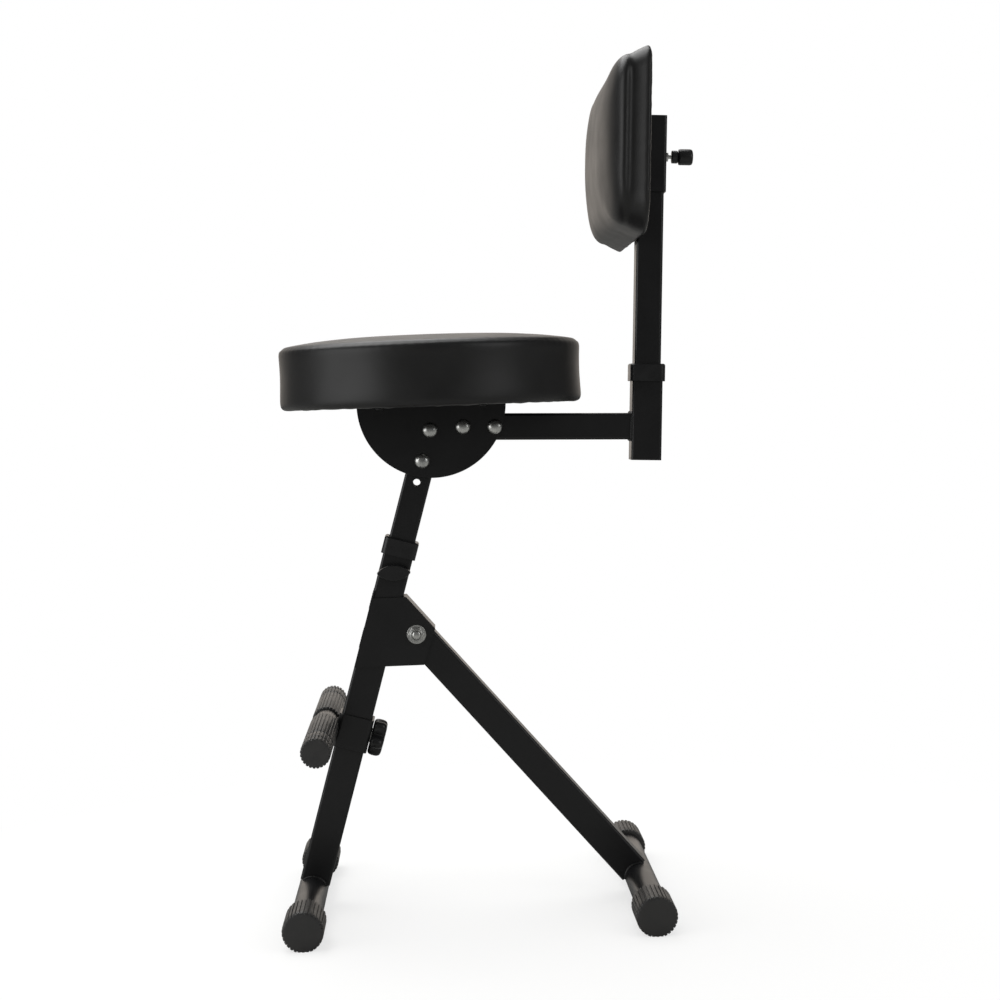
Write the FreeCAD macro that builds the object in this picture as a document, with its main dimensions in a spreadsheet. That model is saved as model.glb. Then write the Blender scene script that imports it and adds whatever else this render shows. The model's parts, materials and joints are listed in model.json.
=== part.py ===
import FreeCAD
import Part
import Sketcher
import math
import os

Vector = FreeCAD.Vector
Rotation = FreeCAD.Rotation
Placement = FreeCAD.Placement

# Driving dimensions: millimetres and degrees
dimensions = {
    # Square tubes, the outer one telescopes over the inner one
    "outer_side": 28.6,
    "outer_wall": 1.4,
    "inner_side": 25.0,
    "inner_wall": 1.2,
    "tube_corner": 2.6,
    "slide_gap": 0.35,
    "fit_gap": 0.1,
    # Floor tubes and their rubber caps
    "floor_tube": 28.0,
    "floor_wall": 1.5,
    "floor_length": 312.0,
    "cap_diameter": 37.0,
    "cap_length": 48.0,
    "cap_end": 5.0,
    "cap_flat": 1.2,
    "flute_depth": 1.1,
    "flute_width": 2.4,
    "flute_count": 20,
    # Front leg
    "front_lean": 16.4,
    "front_top": 342.0,
    "leg_foot": 9.0,
    "collar_wall": 2.2,
    "collar_height": 16.5,
    "collar_lip": 3.0,
    "edge_bevel": 1.2,
    # Fold hinge and rear leg
    "pivot_along": 262.0,
    "pivot_behind": 35.0,
    "rear_lean": 40.2,
    "bracket_sheet": 2.0,
    "bracket_gap": 0.4,
    "bracket_above": 35.4,
    "bracket_below": 29.4,
    "web_gap": 0.3,
    "web_end": 8.0,
    "fold_bolt": 8.0,
    "fold_head": 13.0,
    "fold_head_height": 5.3,
    "fold_bush": 12.0,
    "fold_play": 0.05,
    "fold_flange": 18.0,
    "fold_flange_height": 1.8,
    "fold_nut_height": 8.0,
    "fold_stud": 1.5,
    # Inner leg tube and seat brackets
    "inner_low": 160.0,
    "inner_top": 466.0,
    "leg_bolt_along": 451.4,
    "bolt_pitch": 30.0,
    "spare_hole_drop": 51.0,
    "spare_hole": 7.0,
    "bracket_shift": 2.0,
    "bracket_rise": 25.0,
    "bracket_radius": 70.0,
    "bracket_plate": 2.5,
    "flange_width": 24.0,
    "flange_half": 62.0,
    "bolt_shank": 6.0,
    "bolt_head": 14.0,
    "bolt_dome": 4.0,
    "bolt_neck": 6.4,
    "nut_flats": 10.0,
    "nut_height": 5.0,
    "bolt_spare": 2.0,
    # Arm and socket
    "arm_drop": 22.0,
    "arm_slope": 1.9,
    "arm_start": 19.0,
    "arm_bolt": 29.0,
    "arm_reach": 202.5,
    "arm_trim": 3.0,
    "post_lean": 2.8,
    "socket_below": 30.0,
    "socket_above": 56.0,
    # Plastic tube plugs
    "plug_flange": 2.0,
    "plug_depth": 14.0,
    "plug_short": 3.0,
    # Seat
    "seat_radius": 142.0,
    "seat_hem": 2.0,
    "seat_side": 58.0,
    "seat_crown": 9.0,
    "seat_edge": 9.0,
    "seat_board": 136.0,
    "board_thick": 12.0,
    # Back post and sleeve
    "post_low": 20.0,
    "post_high": 288.0,
    "sleeve_low": 220.0,
    "sleeve_high": 291.0,
    "lock_height": 254.0,
    "lock_hole": 5.0,
    "lock_hole_pitch": 40.0,
    "lock_hole_count": 3,
    "lock_boss": 9.0,
    "lock_boss_height": 2.6,
    "lock_stem": 4.0,
    "lock_ring_start": 6.0,
    "lock_ring": 12.0,
    "lock_ring_length": 6.0,
    "lock_knob": 15.0,
    "lock_knob_length": 14.0,
    # Backrest
    "back_plate": 2.5,
    "back_plate_side": 62.0,
    "back_width": 290.0,
    "back_tall": 164.0,
    "back_corner": 42.0,
    "back_roll": 4.3,
    "back_seam": 12.0,
    "back_tuck": 2.0,
    "back_swell": 5.0,
    "back_crown": 20.5,
    "back_spread": 70.0,
    "back_sweep": 62.0,
    "back_rings": 3,
    "back_board_width": 206.0,
    "back_board_tall": 124.0,
    "back_board_corner": 24.0,
    # Footrest
    "rest_along": 156.0,
    "rest_tube": 22.0,
    "rest_wall": 1.5,
    "rest_length": 310.0,
    "clamp_gap": 0.4,
    "clamp_wall": 2.0,
    "clamp_height": 32.0,
    "grip_diameter": 27.0,
    "grip_start": 17.2,
    "grip_end": 5.0,
    "grip_groove": 1.6,
    "grip_ring_depth": 1.4,
    "grip_segment": 40.0,
    "grip_flutes": 16,
    # Hand knobs and their weld nuts
    "knob_screw": 6.0,
    "knob_play": 0.05,
    "weld_nut": 12.0,
    "weld_nut_height": 3.2,
    "knob_gap": 0.6,
    "knob_bite": 5.5,
    "knob_recess": 16.0,
    "star_hub": 24.0,
    "star_lobe": 12.0,
    "star_reach": 12.4,
    "star_lobes": 5,
    "star_thick": 13.0,
    "height_along": 313.5,
    "oval_long": 32.0,
    "oval_wide": 15.0,
    "oval_thick": 9.0,
}

doc = FreeCAD.newDocument("folding_stool")
sheet = doc.addObject("Spreadsheet::Sheet", "size")
for row, (name, value) in enumerate(dimensions.items(), start=1):
    sheet.set(f"A{row}", name)
    sheet.set(f"B{row}", str(value))
    sheet.setAlias(f"B{row}", name)
doc.recompute()

pieces = {}


def number(expression):
    result = sheet.evalExpression(expression)
    return float(getattr(result, "Value", result))


def degrees(name):
    return math.radians(number(f"size.{name}"))


# Sketch helpers: every point and radius is an expression on the sheet


def new_body(label):
    body = doc.addObject("PartDesign::Body", label)
    body.Label = label
    return body


def new_sketch(body, plane, lift="0"):
    sketch = body.newObject("Sketcher::SketchObject", f"{body.Name}_outline")
    support = next(item for item in body.Origin.OriginFeatures if item.Role == f"{plane}_Plane")
    sketch.AttachmentSupport = [(support, "")]
    sketch.MapMode = "FlatFace"
    sketch.setExpression(".AttachmentOffset.Base.z", lift)
    return sketch


def constrain(sketch, expression, *constraint):
    index = sketch.addConstraint(Sketcher.Constraint(*constraint, number(expression)))
    sketch.setExpression(f"Constraints[{index}]", expression)


def pin_point(sketch, geometry, position, x, y):
    constrain(sketch, x, "DistanceX", -1, 1, geometry, position)
    constrain(sketch, y, "DistanceY", -1, 1, geometry, position)


def arc_between(start, end, radius, left):
    chord = end - start
    middle = (start + end) * 0.5
    rise = math.sqrt(max(radius**2 - (chord.Length / 2) ** 2, 0))
    side = Vector(-chord.y, chord.x, 0).normalize()
    centre = middle + side * (rise if left else -rise)
    first, last = (start, end) if left else (end, start)
    angles = [math.atan2(point.y - centre.y, point.x - centre.x) for point in (first, last)]
    return Part.ArcOfCircle(Part.Circle(centre, Vector(0, 0, 1), radius), *angles)


def draw(sketch, path):
    """Closed outline: (x, y) starts a line, (x, y, radius, bend) starts an arc bending left or right."""
    corners = [Vector(number(step[0]), number(step[1]), 0) for step in path]
    ends = []
    for index, step in enumerate(path):
        start, end = corners[index], corners[(index + 1) % len(path)]
        if len(step) == 2:
            ends.append((sketch.addGeometry(Part.LineSegment(start, end), False), 1, 2))
            continue
        left = step[3] == "left"
        arc = sketch.addGeometry(arc_between(start, end, number(step[2]), left), False)
        ends.append((arc, 1, 2) if left else (arc, 2, 1))
    for index, (geometry, first, last) in enumerate(ends):
        following, start, end = ends[(index + 1) % len(ends)]
        sketch.addConstraint(Sketcher.Constraint("Coincident", geometry, last, following, start))
        pin_point(sketch, geometry, first, path[index][0], path[index][1])
        if len(path[index]) > 2:
            constrain(sketch, path[index][2], "Radius", geometry)


def draw_circle(sketch, diameter, x="0", y="0"):
    centre = Vector(number(x), number(y), 0)
    circle = Part.Circle(centre, Vector(0, 0, 1), number(diameter) / 2)
    geometry = sketch.addGeometry(circle, False)
    pin_point(sketch, geometry, 3, x, y)
    constrain(sketch, diameter, "Diameter", geometry)


def draw_box(sketch, width, height, radius, x="0", y="0"):
    right, left = f"{x} + ({width}) / 2", f"{x} - ({width}) / 2"
    top, bottom = f"{y} + ({height}) / 2", f"{y} - ({height}) / 2"
    draw(sketch, [
        (f"{left} + {radius}", bottom),
        (f"{right} - {radius}", bottom, radius, "left"),
        (right, f"{bottom} + {radius}"),
        (right, f"{top} - {radius}", radius, "left"),
        (f"{right} - {radius}", top),
        (f"{left} + {radius}", top, radius, "left"),
        (left, f"{top} - {radius}"),
        (left, f"{bottom} + {radius}", radius, "left"),
    ])


def draw_rectangle(sketch, left, bottom, right, top):
    draw(sketch, [(left, bottom), (right, bottom), (right, top), (left, top)])


def draw_square(sketch, side):
    half = f"{side} / 2"
    draw_rectangle(sketch, f"-{half}", f"-{half}", half, half)


def draw_hexagon(sketch, flats):
    across = f"{flats} / 2 / cos(30 deg)"
    draw(sketch, [(f"{across} * cos({60 * k} deg)", f"{across} * sin({60 * k} deg)") for k in range(6)])


# Feature helpers


def add_feature(body, kind, sketch, length, side, reverse):
    feature = body.newObject(f"PartDesign::{kind}", f"{body.Name}_{kind.lower()}")
    feature.Profile = sketch
    feature.SideType = side
    feature.Reversed = reverse
    if length is None:
        feature.Type = "ThroughAll"
    else:
        feature.setExpression("Length", length)
    return feature


def pad(body, sketch, length, side="One side", reverse=False):
    return add_feature(body, "Pad", sketch, length, side, reverse)


def pocket(body, sketch, length=None, side="One side", reverse=False):
    return add_feature(body, "Pocket", sketch, length, side, reverse)


def revolve(body, sketch, kind="Revolution"):
    feature = body.newObject(f"PartDesign::{kind}", f"{body.Name}_{kind.lower()}")
    feature.Profile = sketch
    feature.ReferenceAxis = (sketch, ["V_Axis"])
    feature.Angle = 360
    return feature


def repeat_round(body, feature, sketch, count):
    pattern = body.newObject("PartDesign::PolarPattern", f"{body.Name}_pattern")
    pattern.Originals = [feature]
    pattern.Axis = (sketch, ["N_Axis"])
    pattern.Angle = 360
    pattern.setExpression("Occurrences", count)
    body.Tip = pattern
    return pattern


def dress_top(body, kind, amount, height):
    doc.recompute()
    base = body.Tip
    top = number(height) - 0.01
    names = [f"Edge{index}" for index, edge in enumerate(base.Shape.Edges, start=1) if edge.BoundBox.ZMin > top]
    feature = body.newObject(f"PartDesign::{kind}", f"{body.Name}_{kind.lower()}")
    feature.Base = (base, names)
    feature.setExpression("Radius" if kind == "Fillet" else "Size", amount)
    return feature


def keep(item, placement):
    doc.recompute()
    item.Placement = placement
    pieces[item.Label] = item
    return item


def keep_group(label, master, placements):
    """Identical fasteners as separate solids of one node."""
    doc.recompute()
    solids = []
    for placement in placements:
        solid = master.Shape.copy()
        solid.Placement = placement
        solids.append(solid)
    group = doc.addObject("Part::Feature", label)
    group.Label = label
    group.Shape = Part.makeCompound(solids)
    pieces[label] = group


# Frames of the stool: the front floor tube's axis stands over the build origin

front_lean, rear_lean = degrees("front_lean"), degrees("rear_lean")
arm_slope, post_lean = degrees("arm_slope"), degrees("post_lean")
leg_up = Vector(math.sin(front_lean), 0, math.cos(front_lean))
leg_back = Vector(math.cos(front_lean), 0, -math.sin(front_lean))
rear_down = Vector(math.sin(rear_lean), 0, -math.cos(rear_lean))
arm_back = Vector(math.cos(arm_slope), 0, -math.sin(arm_slope))
post_up = Vector(math.sin(post_lean), 0, math.cos(post_lean))
post_back = Vector(math.cos(post_lean), 0, -math.sin(post_lean))
to_rear = Vector(0, 1, 0)

foot = Vector(0, 0, number("size.cap_diameter / 2 - size.cap_flat"))
pivot = foot + leg_up * number("size.pivot_along") + leg_back * number("size.pivot_behind")
rear_reach = (pivot.z - foot.z) / math.cos(rear_lean)
rear_foot = pivot + rear_down * rear_reach
upper_bolt = foot + leg_up * number("size.leg_bolt_along")
seat = upper_bolt + Vector(number("size.bracket_shift"), 0, number("size.bracket_rise"))
arm = seat - Vector(0, 0, number("size.arm_drop"))
socket = arm + arm_back * number("size.arm_reach")

upright = Rotation()
leg_turn = Rotation(to_rear, math.degrees(front_lean))
rear_turn = Rotation(to_rear, -math.degrees(rear_lean))
post_turn = Rotation(to_rear, math.degrees(post_lean))
arm_turn = Rotation(to_rear, 90 + math.degrees(arm_slope))
near_turn = Rotation(Vector(1, 0, 0), 90)
far_turn = Rotation(Vector(1, 0, 0), -90) * Rotation(Vector(0, 0, 1), 180)
behind_turn = Rotation(to_rear, 90)


def on_leg(along, behind=0.0, aside=0.0):
    return foot + leg_up * along + leg_back * behind + Vector(0, aside, 0)


def on_post(up, behind=0.0, aside=0.0):
    return socket + post_up * up + post_back * behind + Vector(0, aside, 0)


# Tubes


def square_tube(label, kind, length):
    side, wall = f"size.{kind}_side", f"size.{kind}_wall"
    body = new_body(label)
    section = new_sketch(body, "XY")
    draw_box(section, side, side, "size.tube_corner")
    draw_square(section, f"({side} - 2 * {wall})")
    pad(body, section, length)
    return body


def round_tube(label, diameter, wall, length):
    body = new_body(label)
    section = new_sketch(body, "XZ")
    draw_circle(section, diameter)
    draw_circle(section, f"{diameter} - 2 * {wall}")
    pad(body, section, length, side="Symmetric")
    return body


def cross_hole(body, diameter, height, shift="0"):
    hole = new_sketch(body, "XZ")
    draw_circle(hole, diameter, shift, height)
    pocket(body, hole, side="Symmetric")


def wall_hole(body, plane, diameter, height):
    hole = new_sketch(body, plane)
    draw_circle(hole, diameter, "0", height)
    pocket(body, hole, reverse=True)


def leg_tube(label, length):
    body = square_tube(label, "outer", length)
    cross_hole(body, "size.floor_tube", "-size.leg_foot")
    return body


def plug(label, kind, depth):
    side, wall = f"size.{kind}_side", f"size.{kind}_wall"
    body = new_body(label)
    flange = new_sketch(body, "XY")
    draw_box(flange, side, side, "size.tube_corner")
    pad(body, flange, "size.plug_flange")
    spigot = new_sketch(body, "XY")
    draw_square(spigot, f"({side} - 2 * {wall} - 2 * size.fit_gap)")
    pad(body, spigot, depth, reverse=True)
    return body


def collar(label):
    body = new_body(label)
    outer = "(size.outer_side + 2 * size.collar_wall)"
    shell = new_sketch(body, "XY")
    draw_box(shell, outer, outer, "(size.tube_corner + size.collar_wall)")
    pad(body, shell, "size.collar_height")
    dress_top(body, "Chamfer", "size.edge_bevel", "size.collar_height")
    seat_bore = new_sketch(body, "XY")
    draw_square(seat_bore, "(size.outer_side + 2 * size.fit_gap)")
    pocket(body, seat_bore, "size.collar_height - size.collar_lip", reverse=True)
    passage = new_sketch(body, "XY")
    draw_square(passage, "(size.inner_side + 2 * size.slide_gap)")
    pocket(body, passage, reverse=True)
    return body


def front_leg():
    body = leg_tube("front_leg_tube", "size.front_top - size.leg_foot")
    wall_hole(body, "XZ", "size.knob_screw + 2 * size.knob_play", "size.height_along - size.leg_foot")
    keep(body, Placement(on_leg(number("size.leg_foot")), leg_turn))
    collar_low = number("size.front_top + size.collar_lip - size.collar_height")
    keep(collar("leg_collar"), Placement(on_leg(collar_low), leg_turn))


def round_end(body, height):
    """Cuts the top to a half circle about the pivot, so that the end clears the bracket's web as it folds."""
    waste = new_sketch(body, "XZ")
    radius, beyond = "size.outer_side / 2", "size.outer_side"
    draw(waste, [
        (f"-{radius}", height, radius, "right"),
        ("0", f"{height} + {radius}", radius, "right"),
        (radius, height),
        (beyond, height),
        (beyond, f"{height} + {beyond}"),
        (f"-{beyond}", f"{height} + {beyond}"),
        (f"-{beyond}", height),
    ])
    pocket(body, waste, side="Symmetric")


def rear_leg():
    pin_height = f"({rear_reach} - size.leg_foot)"
    body = leg_tube("rear_leg_tube", f"{pin_height} + size.outer_side / 2")
    round_end(body, pin_height)
    cross_hole(body, "size.fold_bush", pin_height)
    keep(body, Placement(rear_foot - rear_down * number("size.leg_foot"), rear_turn))

    end = new_body("rear_leg_plug")
    profile = new_sketch(end, "XZ")
    half = "(size.outer_side / 2 - size.outer_wall - size.fit_gap)"
    draw_rectangle(profile, f"-{half}", "-size.plug_depth", half, "size.outer_side / 2")
    pad(end, profile, f"2 * {half}", side="Symmetric")
    round_end(end, "0")
    cross_hole(end, "size.fold_bush", "0")
    keep(end, Placement(pivot, rear_turn))

    bush = round_tube("fold_bush", "size.fold_bush", "(size.fold_bush - size.fold_bolt - 2 * size.fold_play) / 2",
                      "size.outer_side")
    keep(bush, Placement(pivot, upright))


def floor_tubes():
    for name, place in (("front", foot), ("rear", rear_foot)):
        tube = round_tube(f"{name}_cross_tube", "size.floor_tube", "size.floor_wall", "size.floor_length")
        keep(tube, Placement(place, upright))


# Rubber caps and grips: fluted along their length


def fluted_cap(label, diameter, length, bore, end, count):
    body = new_body(label)
    disc = new_sketch(body, "XY")
    draw_circle(disc, diameter)
    pad(body, disc, length)
    hollow = new_sketch(body, "XY")
    draw_circle(hollow, bore)
    pocket(body, hollow, f"{length} - {end}", reverse=True)
    flute = new_sketch(body, "XY")
    outside = f"({diameter} / 2 + size.flute_depth / 2)"
    draw(flute, [
        (f"{diameter} / 2 - size.flute_depth", "0"),
        (outside, "-size.flute_width * 0.75"),
        (outside, "size.flute_width * 0.75"),
    ])
    cut = pocket(body, flute, reverse=True)
    repeat_round(body, cut, flute, count)
    return body


def foot_caps():
    reach = number("size.floor_length / 2 + size.cap_end - size.cap_length")
    for name, place in (("front", foot), ("rear", rear_foot)):
        for side, turn, hand in (("left", near_turn, -1), ("right", far_turn, 1)):
            body = fluted_cap(f"{name}_foot_cap_{side}", "size.cap_diameter", "size.cap_length", "size.floor_tube",
                              "size.cap_end", "size.flute_count")
            flat = new_sketch(body, "XY")
            half = "size.cap_diameter / 2"
            draw_rectangle(flat, f"-{half}", f"-{half} - size.cap_flat", half, f"-{half} + size.cap_flat")
            pocket(body, flat, reverse=True)
            keep(body, Placement(place + Vector(0, hand * reach, 0), turn))


# Fold hinge


def hinge_bracket():
    body = new_body("hinge_bracket")
    lean, tilt = "(size.front_lean * 1 deg)", "(size.rear_lean * 1 deg)"
    face = f"(-(size.pivot_behind + size.outer_side / 2) / cos({lean}))"
    above, below = "size.bracket_above", "size.bracket_below"
    web_in = "(size.outer_side / 2 + size.web_gap)"
    web_out = f"({web_in} + size.bracket_sheet)"

    def on_web(offset, along):
        return (f"{offset} * cos({tilt}) + ({along}) * sin({tilt})",
                f"{offset} * sin({tilt}) - ({along}) * cos({tilt})")

    cheeks = new_sketch(body, "XZ")
    draw(cheeks, [
        (f"{face} - {below} * tan({lean})", f"-{below}"),
        (f"(-size.outer_side / 2 + {below} * sin({tilt})) / cos({tilt})", f"-{below}"),
        on_web(web_out, "size.web_end"),
        (f"({web_out} - {above} * sin({tilt})) / cos({tilt})", above),
        (f"{face} + {above} * tan({lean})", above),
    ])
    inside = "(size.outer_side + 2 * size.bracket_gap)"
    pad(body, cheeks, f"{inside} + 2 * size.bracket_sheet", side="Symmetric")
    gap = new_sketch(body, "XZ")
    beyond = "2 * size.outer_side"
    draw(gap, [
        on_web(web_in, beyond),
        on_web(web_in, f"-2 * {beyond}"),
        on_web(f"(-2 * {beyond})", f"-2 * {beyond}"),
        on_web(f"(-2 * {beyond})", beyond),
    ])
    pocket(body, gap, inside, side="Symmetric")
    cross_hole(body, "size.fold_bolt", "0")
    keep(body, Placement(pivot, upright))


def fold_fasteners():
    across = "(size.outer_side + 2 * size.bracket_gap + 2 * size.bracket_sheet)"
    bolt = new_body("fold_bolt")
    head = new_sketch(bolt, "XY")
    draw_hexagon(head, "size.fold_head")
    pad(bolt, head, "size.fold_head_height", reverse=True)
    shank = new_sketch(bolt, "XY")
    draw_circle(shank, "size.fold_bolt")
    pad(bolt, shank, f"{across} + size.fold_nut_height + size.fold_stud")
    keep(bolt, Placement(pivot + Vector(0, number(f"{across} / 2"), 0), near_turn))

    nut = new_body("fold_nut")
    flange = new_sketch(nut, "XY")
    draw_circle(flange, "size.fold_flange")
    draw_circle(flange, "size.fold_bolt")
    pad(nut, flange, "size.fold_flange_height")
    hexagon = new_sketch(nut, "XY", "size.fold_flange_height")
    draw_hexagon(hexagon, "size.fold_head")
    draw_circle(hexagon, "size.fold_bolt")
    pad(nut, hexagon, "size.fold_nut_height - size.fold_flange_height")
    keep(nut, Placement(pivot - Vector(0, number(f"{across} / 2"), 0), near_turn))


# Inner leg tube, brackets, arm and socket


def inner_leg():
    body = square_tube("inner_leg_tube", "inner", "size.inner_top - size.inner_low")
    upper = "size.leg_bolt_along - size.inner_low"
    cross_hole(body, "size.bolt_shank", upper)
    cross_hole(body, "size.bolt_shank", f"{upper} - size.bolt_pitch")
    cross_hole(body, "size.spare_hole", f"{upper} - size.spare_hole_drop")
    keep(body, Placement(on_leg(number("size.inner_low")), leg_turn))
    downward = leg_turn * Rotation(Vector(1, 0, 0), 180)
    keep(plug("inner_leg_plug", "inner", "size.plug_depth"), Placement(on_leg(number("size.inner_low")), downward))


def bracket_holes():
    lean, slope = "(size.front_lean * 1 deg)", "(size.arm_slope * 1 deg)"
    spots = []
    for drop in ("0", "size.bolt_pitch"):
        spots.append((f"-size.bracket_shift - {drop} * sin({lean})", f"-size.bracket_rise - {drop} * cos({lean})"))
    for more in ("0", "size.bolt_pitch"):
        along = f"(size.arm_bolt + {more})"
        spots.append((f"{along} * cos({slope})", f"-size.arm_drop - {along} * sin({slope})"))
    return spots


def seat_bracket(side, hand):
    body = new_body(f"seat_bracket_{side}")
    radius = "size.bracket_radius"
    inside = "size.inner_side / 2"
    plate = new_sketch(body, "XZ", inside if hand < 0 else f"-{inside} - size.bracket_plate")
    draw(plate, [
        (f"-{radius}", "0", radius, "left"),
        ("0", f"-{radius}", radius, "left"),
        (radius, "0"),
    ])
    pad(body, plate, "size.bracket_plate")
    flange = new_sketch(body, "XY")
    low, high = sorted((f"{hand} * {inside}", f"{hand} * ({inside} + size.flange_width)"), key=number)
    draw_rectangle(flange, "-size.flange_half", low, "size.flange_half", high)
    pad(body, flange, "size.bracket_plate", reverse=True)
    bolts = new_sketch(body, "XZ")
    half = "size.bolt_neck / 2"
    for x, z in bracket_holes():
        if hand < 0:
            draw_rectangle(bolts, f"{x} - {half}", f"{z} - {half}", f"{x} + {half}", f"{z} + {half}")
        else:
            draw_circle(bolts, "size.bolt_shank", x, z)
    pocket(body, bolts, side="Symmetric")
    keep(body, Placement(seat, upright))


def dome_bolt():
    body = new_body("dome_bolt")
    profile = new_sketch(body, "XZ")
    shank, head, dome = "size.bolt_shank / 2", "size.bolt_head / 2", "size.bolt_dome"
    length = "(size.inner_side + 2 * size.bracket_plate + size.nut_height + size.bolt_spare)"
    draw(profile, [
        ("0", f"-{length}"),
        (shank, f"-{length}"),
        (shank, "0"),
        (head, "0"),
        (f"{head} * 0.6", dome),
        ("0", dome),
    ])
    revolve(body, profile)
    neck = new_sketch(body, "XY")
    draw_square(neck, "size.bolt_neck")
    pad(body, neck, "size.bracket_plate", reverse=True)
    return body


def hex_nut():
    body = new_body("hex_nut")
    outline = new_sketch(body, "XY")
    draw_hexagon(outline, "size.nut_flats")
    draw_circle(outline, "size.bolt_shank")
    pad(body, outline, "size.nut_height")
    return body


def bracket_fasteners():
    bolt, nut = dome_bolt(), hex_nut()
    reach = number("size.inner_side / 2 + size.bracket_plate")
    spots = [seat + Vector(number(x), 0, number(z)) for x, z in bracket_holes()]
    for name, pair in (("leg", spots[:2]), ("arm", spots[2:])):
        keep_group(f"{name}_bolts", bolt, [Placement(spot - Vector(0, reach, 0), near_turn) for spot in pair])
        keep_group(f"{name}_nuts", nut, [Placement(spot + Vector(0, reach, 0), far_turn) for spot in pair])


def arm_and_socket():
    bend = "((size.post_lean - size.arm_slope) * 1 deg)"
    length = f"(size.arm_reach - size.outer_side / 2 / cos({bend}) - size.arm_start)"
    tube = square_tube("arm_tube", "inner", f"{length} + size.arm_trim")
    end = new_sketch(tube, "XZ")
    high, low = f"{length} + size.inner_side * tan({bend})", f"{length} - size.inner_side * tan({bend})"
    beyond = f"{length} + 2 * size.arm_trim"
    draw(end, [
        ("-size.inner_side", high),
        ("size.inner_side", low),
        ("size.inner_side", beyond),
        ("-size.inner_side", beyond),
    ])
    pocket(tube, end, side="Symmetric")
    for more in ("0", "size.bolt_pitch"):
        cross_hole(tube, "size.bolt_shank", f"size.arm_bolt + {more} - size.arm_start")
    keep(tube, Placement(arm + arm_back * number("size.arm_start"), arm_turn))
    holder = square_tube("socket_tube", "outer", "size.socket_below + size.socket_above")
    low = on_post(-number("size.socket_below"))
    keep(holder, Placement(low, post_turn))
    downward = post_turn * Rotation(Vector(1, 0, 0), 180)
    keep(plug("socket_plug", "outer", "size.plug_short"), Placement(low, downward))
    collar_low = number("size.socket_above + size.collar_lip - size.collar_height")
    keep(collar("post_collar"), Placement(on_post(collar_low), post_turn))


# Seat: a plywood disc under a crowned round cushion


def seat_parts():
    board = new_body("seat_board")
    disc = new_sketch(board, "XY")
    draw_circle(disc, "2 * size.seat_board")
    pad(board, disc, "size.board_thick")
    keep(board, Placement(seat, upright))

    cushion = new_body("seat_pad")
    profile = new_sketch(cushion, "XZ")
    inside = "(size.seat_board + size.fit_gap)"
    rim, side, edge = "size.seat_radius", "size.seat_side", "size.seat_edge"
    bevel = f"{edge} * (1 - cos(45 deg))"
    draw(profile, [
        ("0", "size.board_thick + size.fit_gap"),
        (inside, "size.board_thick + size.fit_gap"),
        (inside, "-size.seat_hem"),
        (rim, "-size.seat_hem"),
        (rim, f"{side} - {edge}"),
        (f"{rim} - {bevel}", f"{side} - {bevel}"),
        (f"{rim} - {edge}", side),
        (f"{rim} * 0.4", f"{side} + size.seat_crown"),
        ("0", f"{side} + size.seat_crown"),
    ])
    revolve(cushion, profile)
    keep(cushion, Placement(seat, upright))


# Back post, sleeve and pull pin


def back_post():
    tube = square_tube("back_post_tube", "inner", "size.post_low + size.post_high")
    holes = new_sketch(tube, "YZ")
    for index in range(int(number("size.lock_hole_count"))):
        height = f"size.post_low + size.lock_height - {index} * size.lock_hole_pitch"
        draw_circle(holes, "size.lock_hole", "0", height)
    pocket(tube, holes, reverse=True)
    keep(tube, Placement(on_post(-number("size.post_low")), post_turn))
    keep(plug("post_plug", "inner", "size.plug_depth"), Placement(on_post(number("size.post_high")), post_turn))


def back_sleeve():
    tube = square_tube("back_sleeve", "outer", "size.sleeve_high - size.sleeve_low")
    wall_hole(tube, "YZ", "size.lock_stem + 2 * size.knob_play", "size.lock_height - size.sleeve_low")
    keep(tube, Placement(on_post(number("size.sleeve_low")), post_turn))


def pull_pin():
    bore, stem = "size.lock_stem / 2 + size.knob_play", "size.lock_stem / 2"
    start = "size.lock_ring_start"
    housing = new_body("lock_housing")
    profile = new_sketch(housing, "XZ")
    draw(profile, [
        (bore, "0"),
        ("size.lock_boss / 2", "0"),
        ("size.lock_boss / 2", "size.lock_boss_height"),
        (bore, "size.lock_boss_height"),
    ])
    revolve(housing, profile)

    pin = new_body("lock_pin")
    rod = new_sketch(pin, "XY", "-(size.outer_side - size.inner_side) / 2 + size.slide_gap")
    draw_circle(rod, "size.lock_stem")
    tip_depth = "(size.outer_side - size.inner_side) / 2 - size.slide_gap"
    pad(pin, rod, f"{tip_depth} + {start} + size.lock_ring_length")

    knob = new_body("lock_knob")
    shape = new_sketch(knob, "XZ")
    ring_end = f"({start} + size.lock_ring_length)"
    knob_end = f"({ring_end} + size.lock_knob_length)"
    draw(shape, [
        (stem, start),
        ("size.lock_ring / 2", start),
        ("size.lock_ring / 2", ring_end),
        ("size.lock_knob / 2", ring_end),
        ("size.lock_knob / 2", knob_end),
        ("0", knob_end),
        ("0", ring_end),
        (stem, ring_end),
    ])
    revolve(knob, shape)
    doc.recompute()
    face = on_post(number("size.lock_height"), number("size.outer_side / 2"))
    for body in (housing, pin, knob):
        keep(body, Placement(face, post_turn * behind_turn))


# Backrest: plate, board and a cushion rolled back round the board's ends


def backrest():
    face = on_post(number("size.lock_height"), -number("size.outer_side / 2"))
    plate = new_body("back_plate")
    outline = new_sketch(plate, "YZ")
    draw_box(outline, "size.back_plate_side", "size.back_plate_side", "size.tube_corner")
    pad(plate, outline, "size.back_plate", reverse=True)
    keep(plate, Placement(face, post_turn))

    board = new_body("back_board")
    wood = new_sketch(board, "YZ", "-size.back_plate")
    draw_box(wood, "size.back_board_width", "size.back_board_tall", "size.back_board_corner")
    pad(board, wood, "size.board_thick", reverse=True)
    keep(board, Placement(face, post_turn))
    keep(back_cushion(), Placement(face, post_turn))


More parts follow.
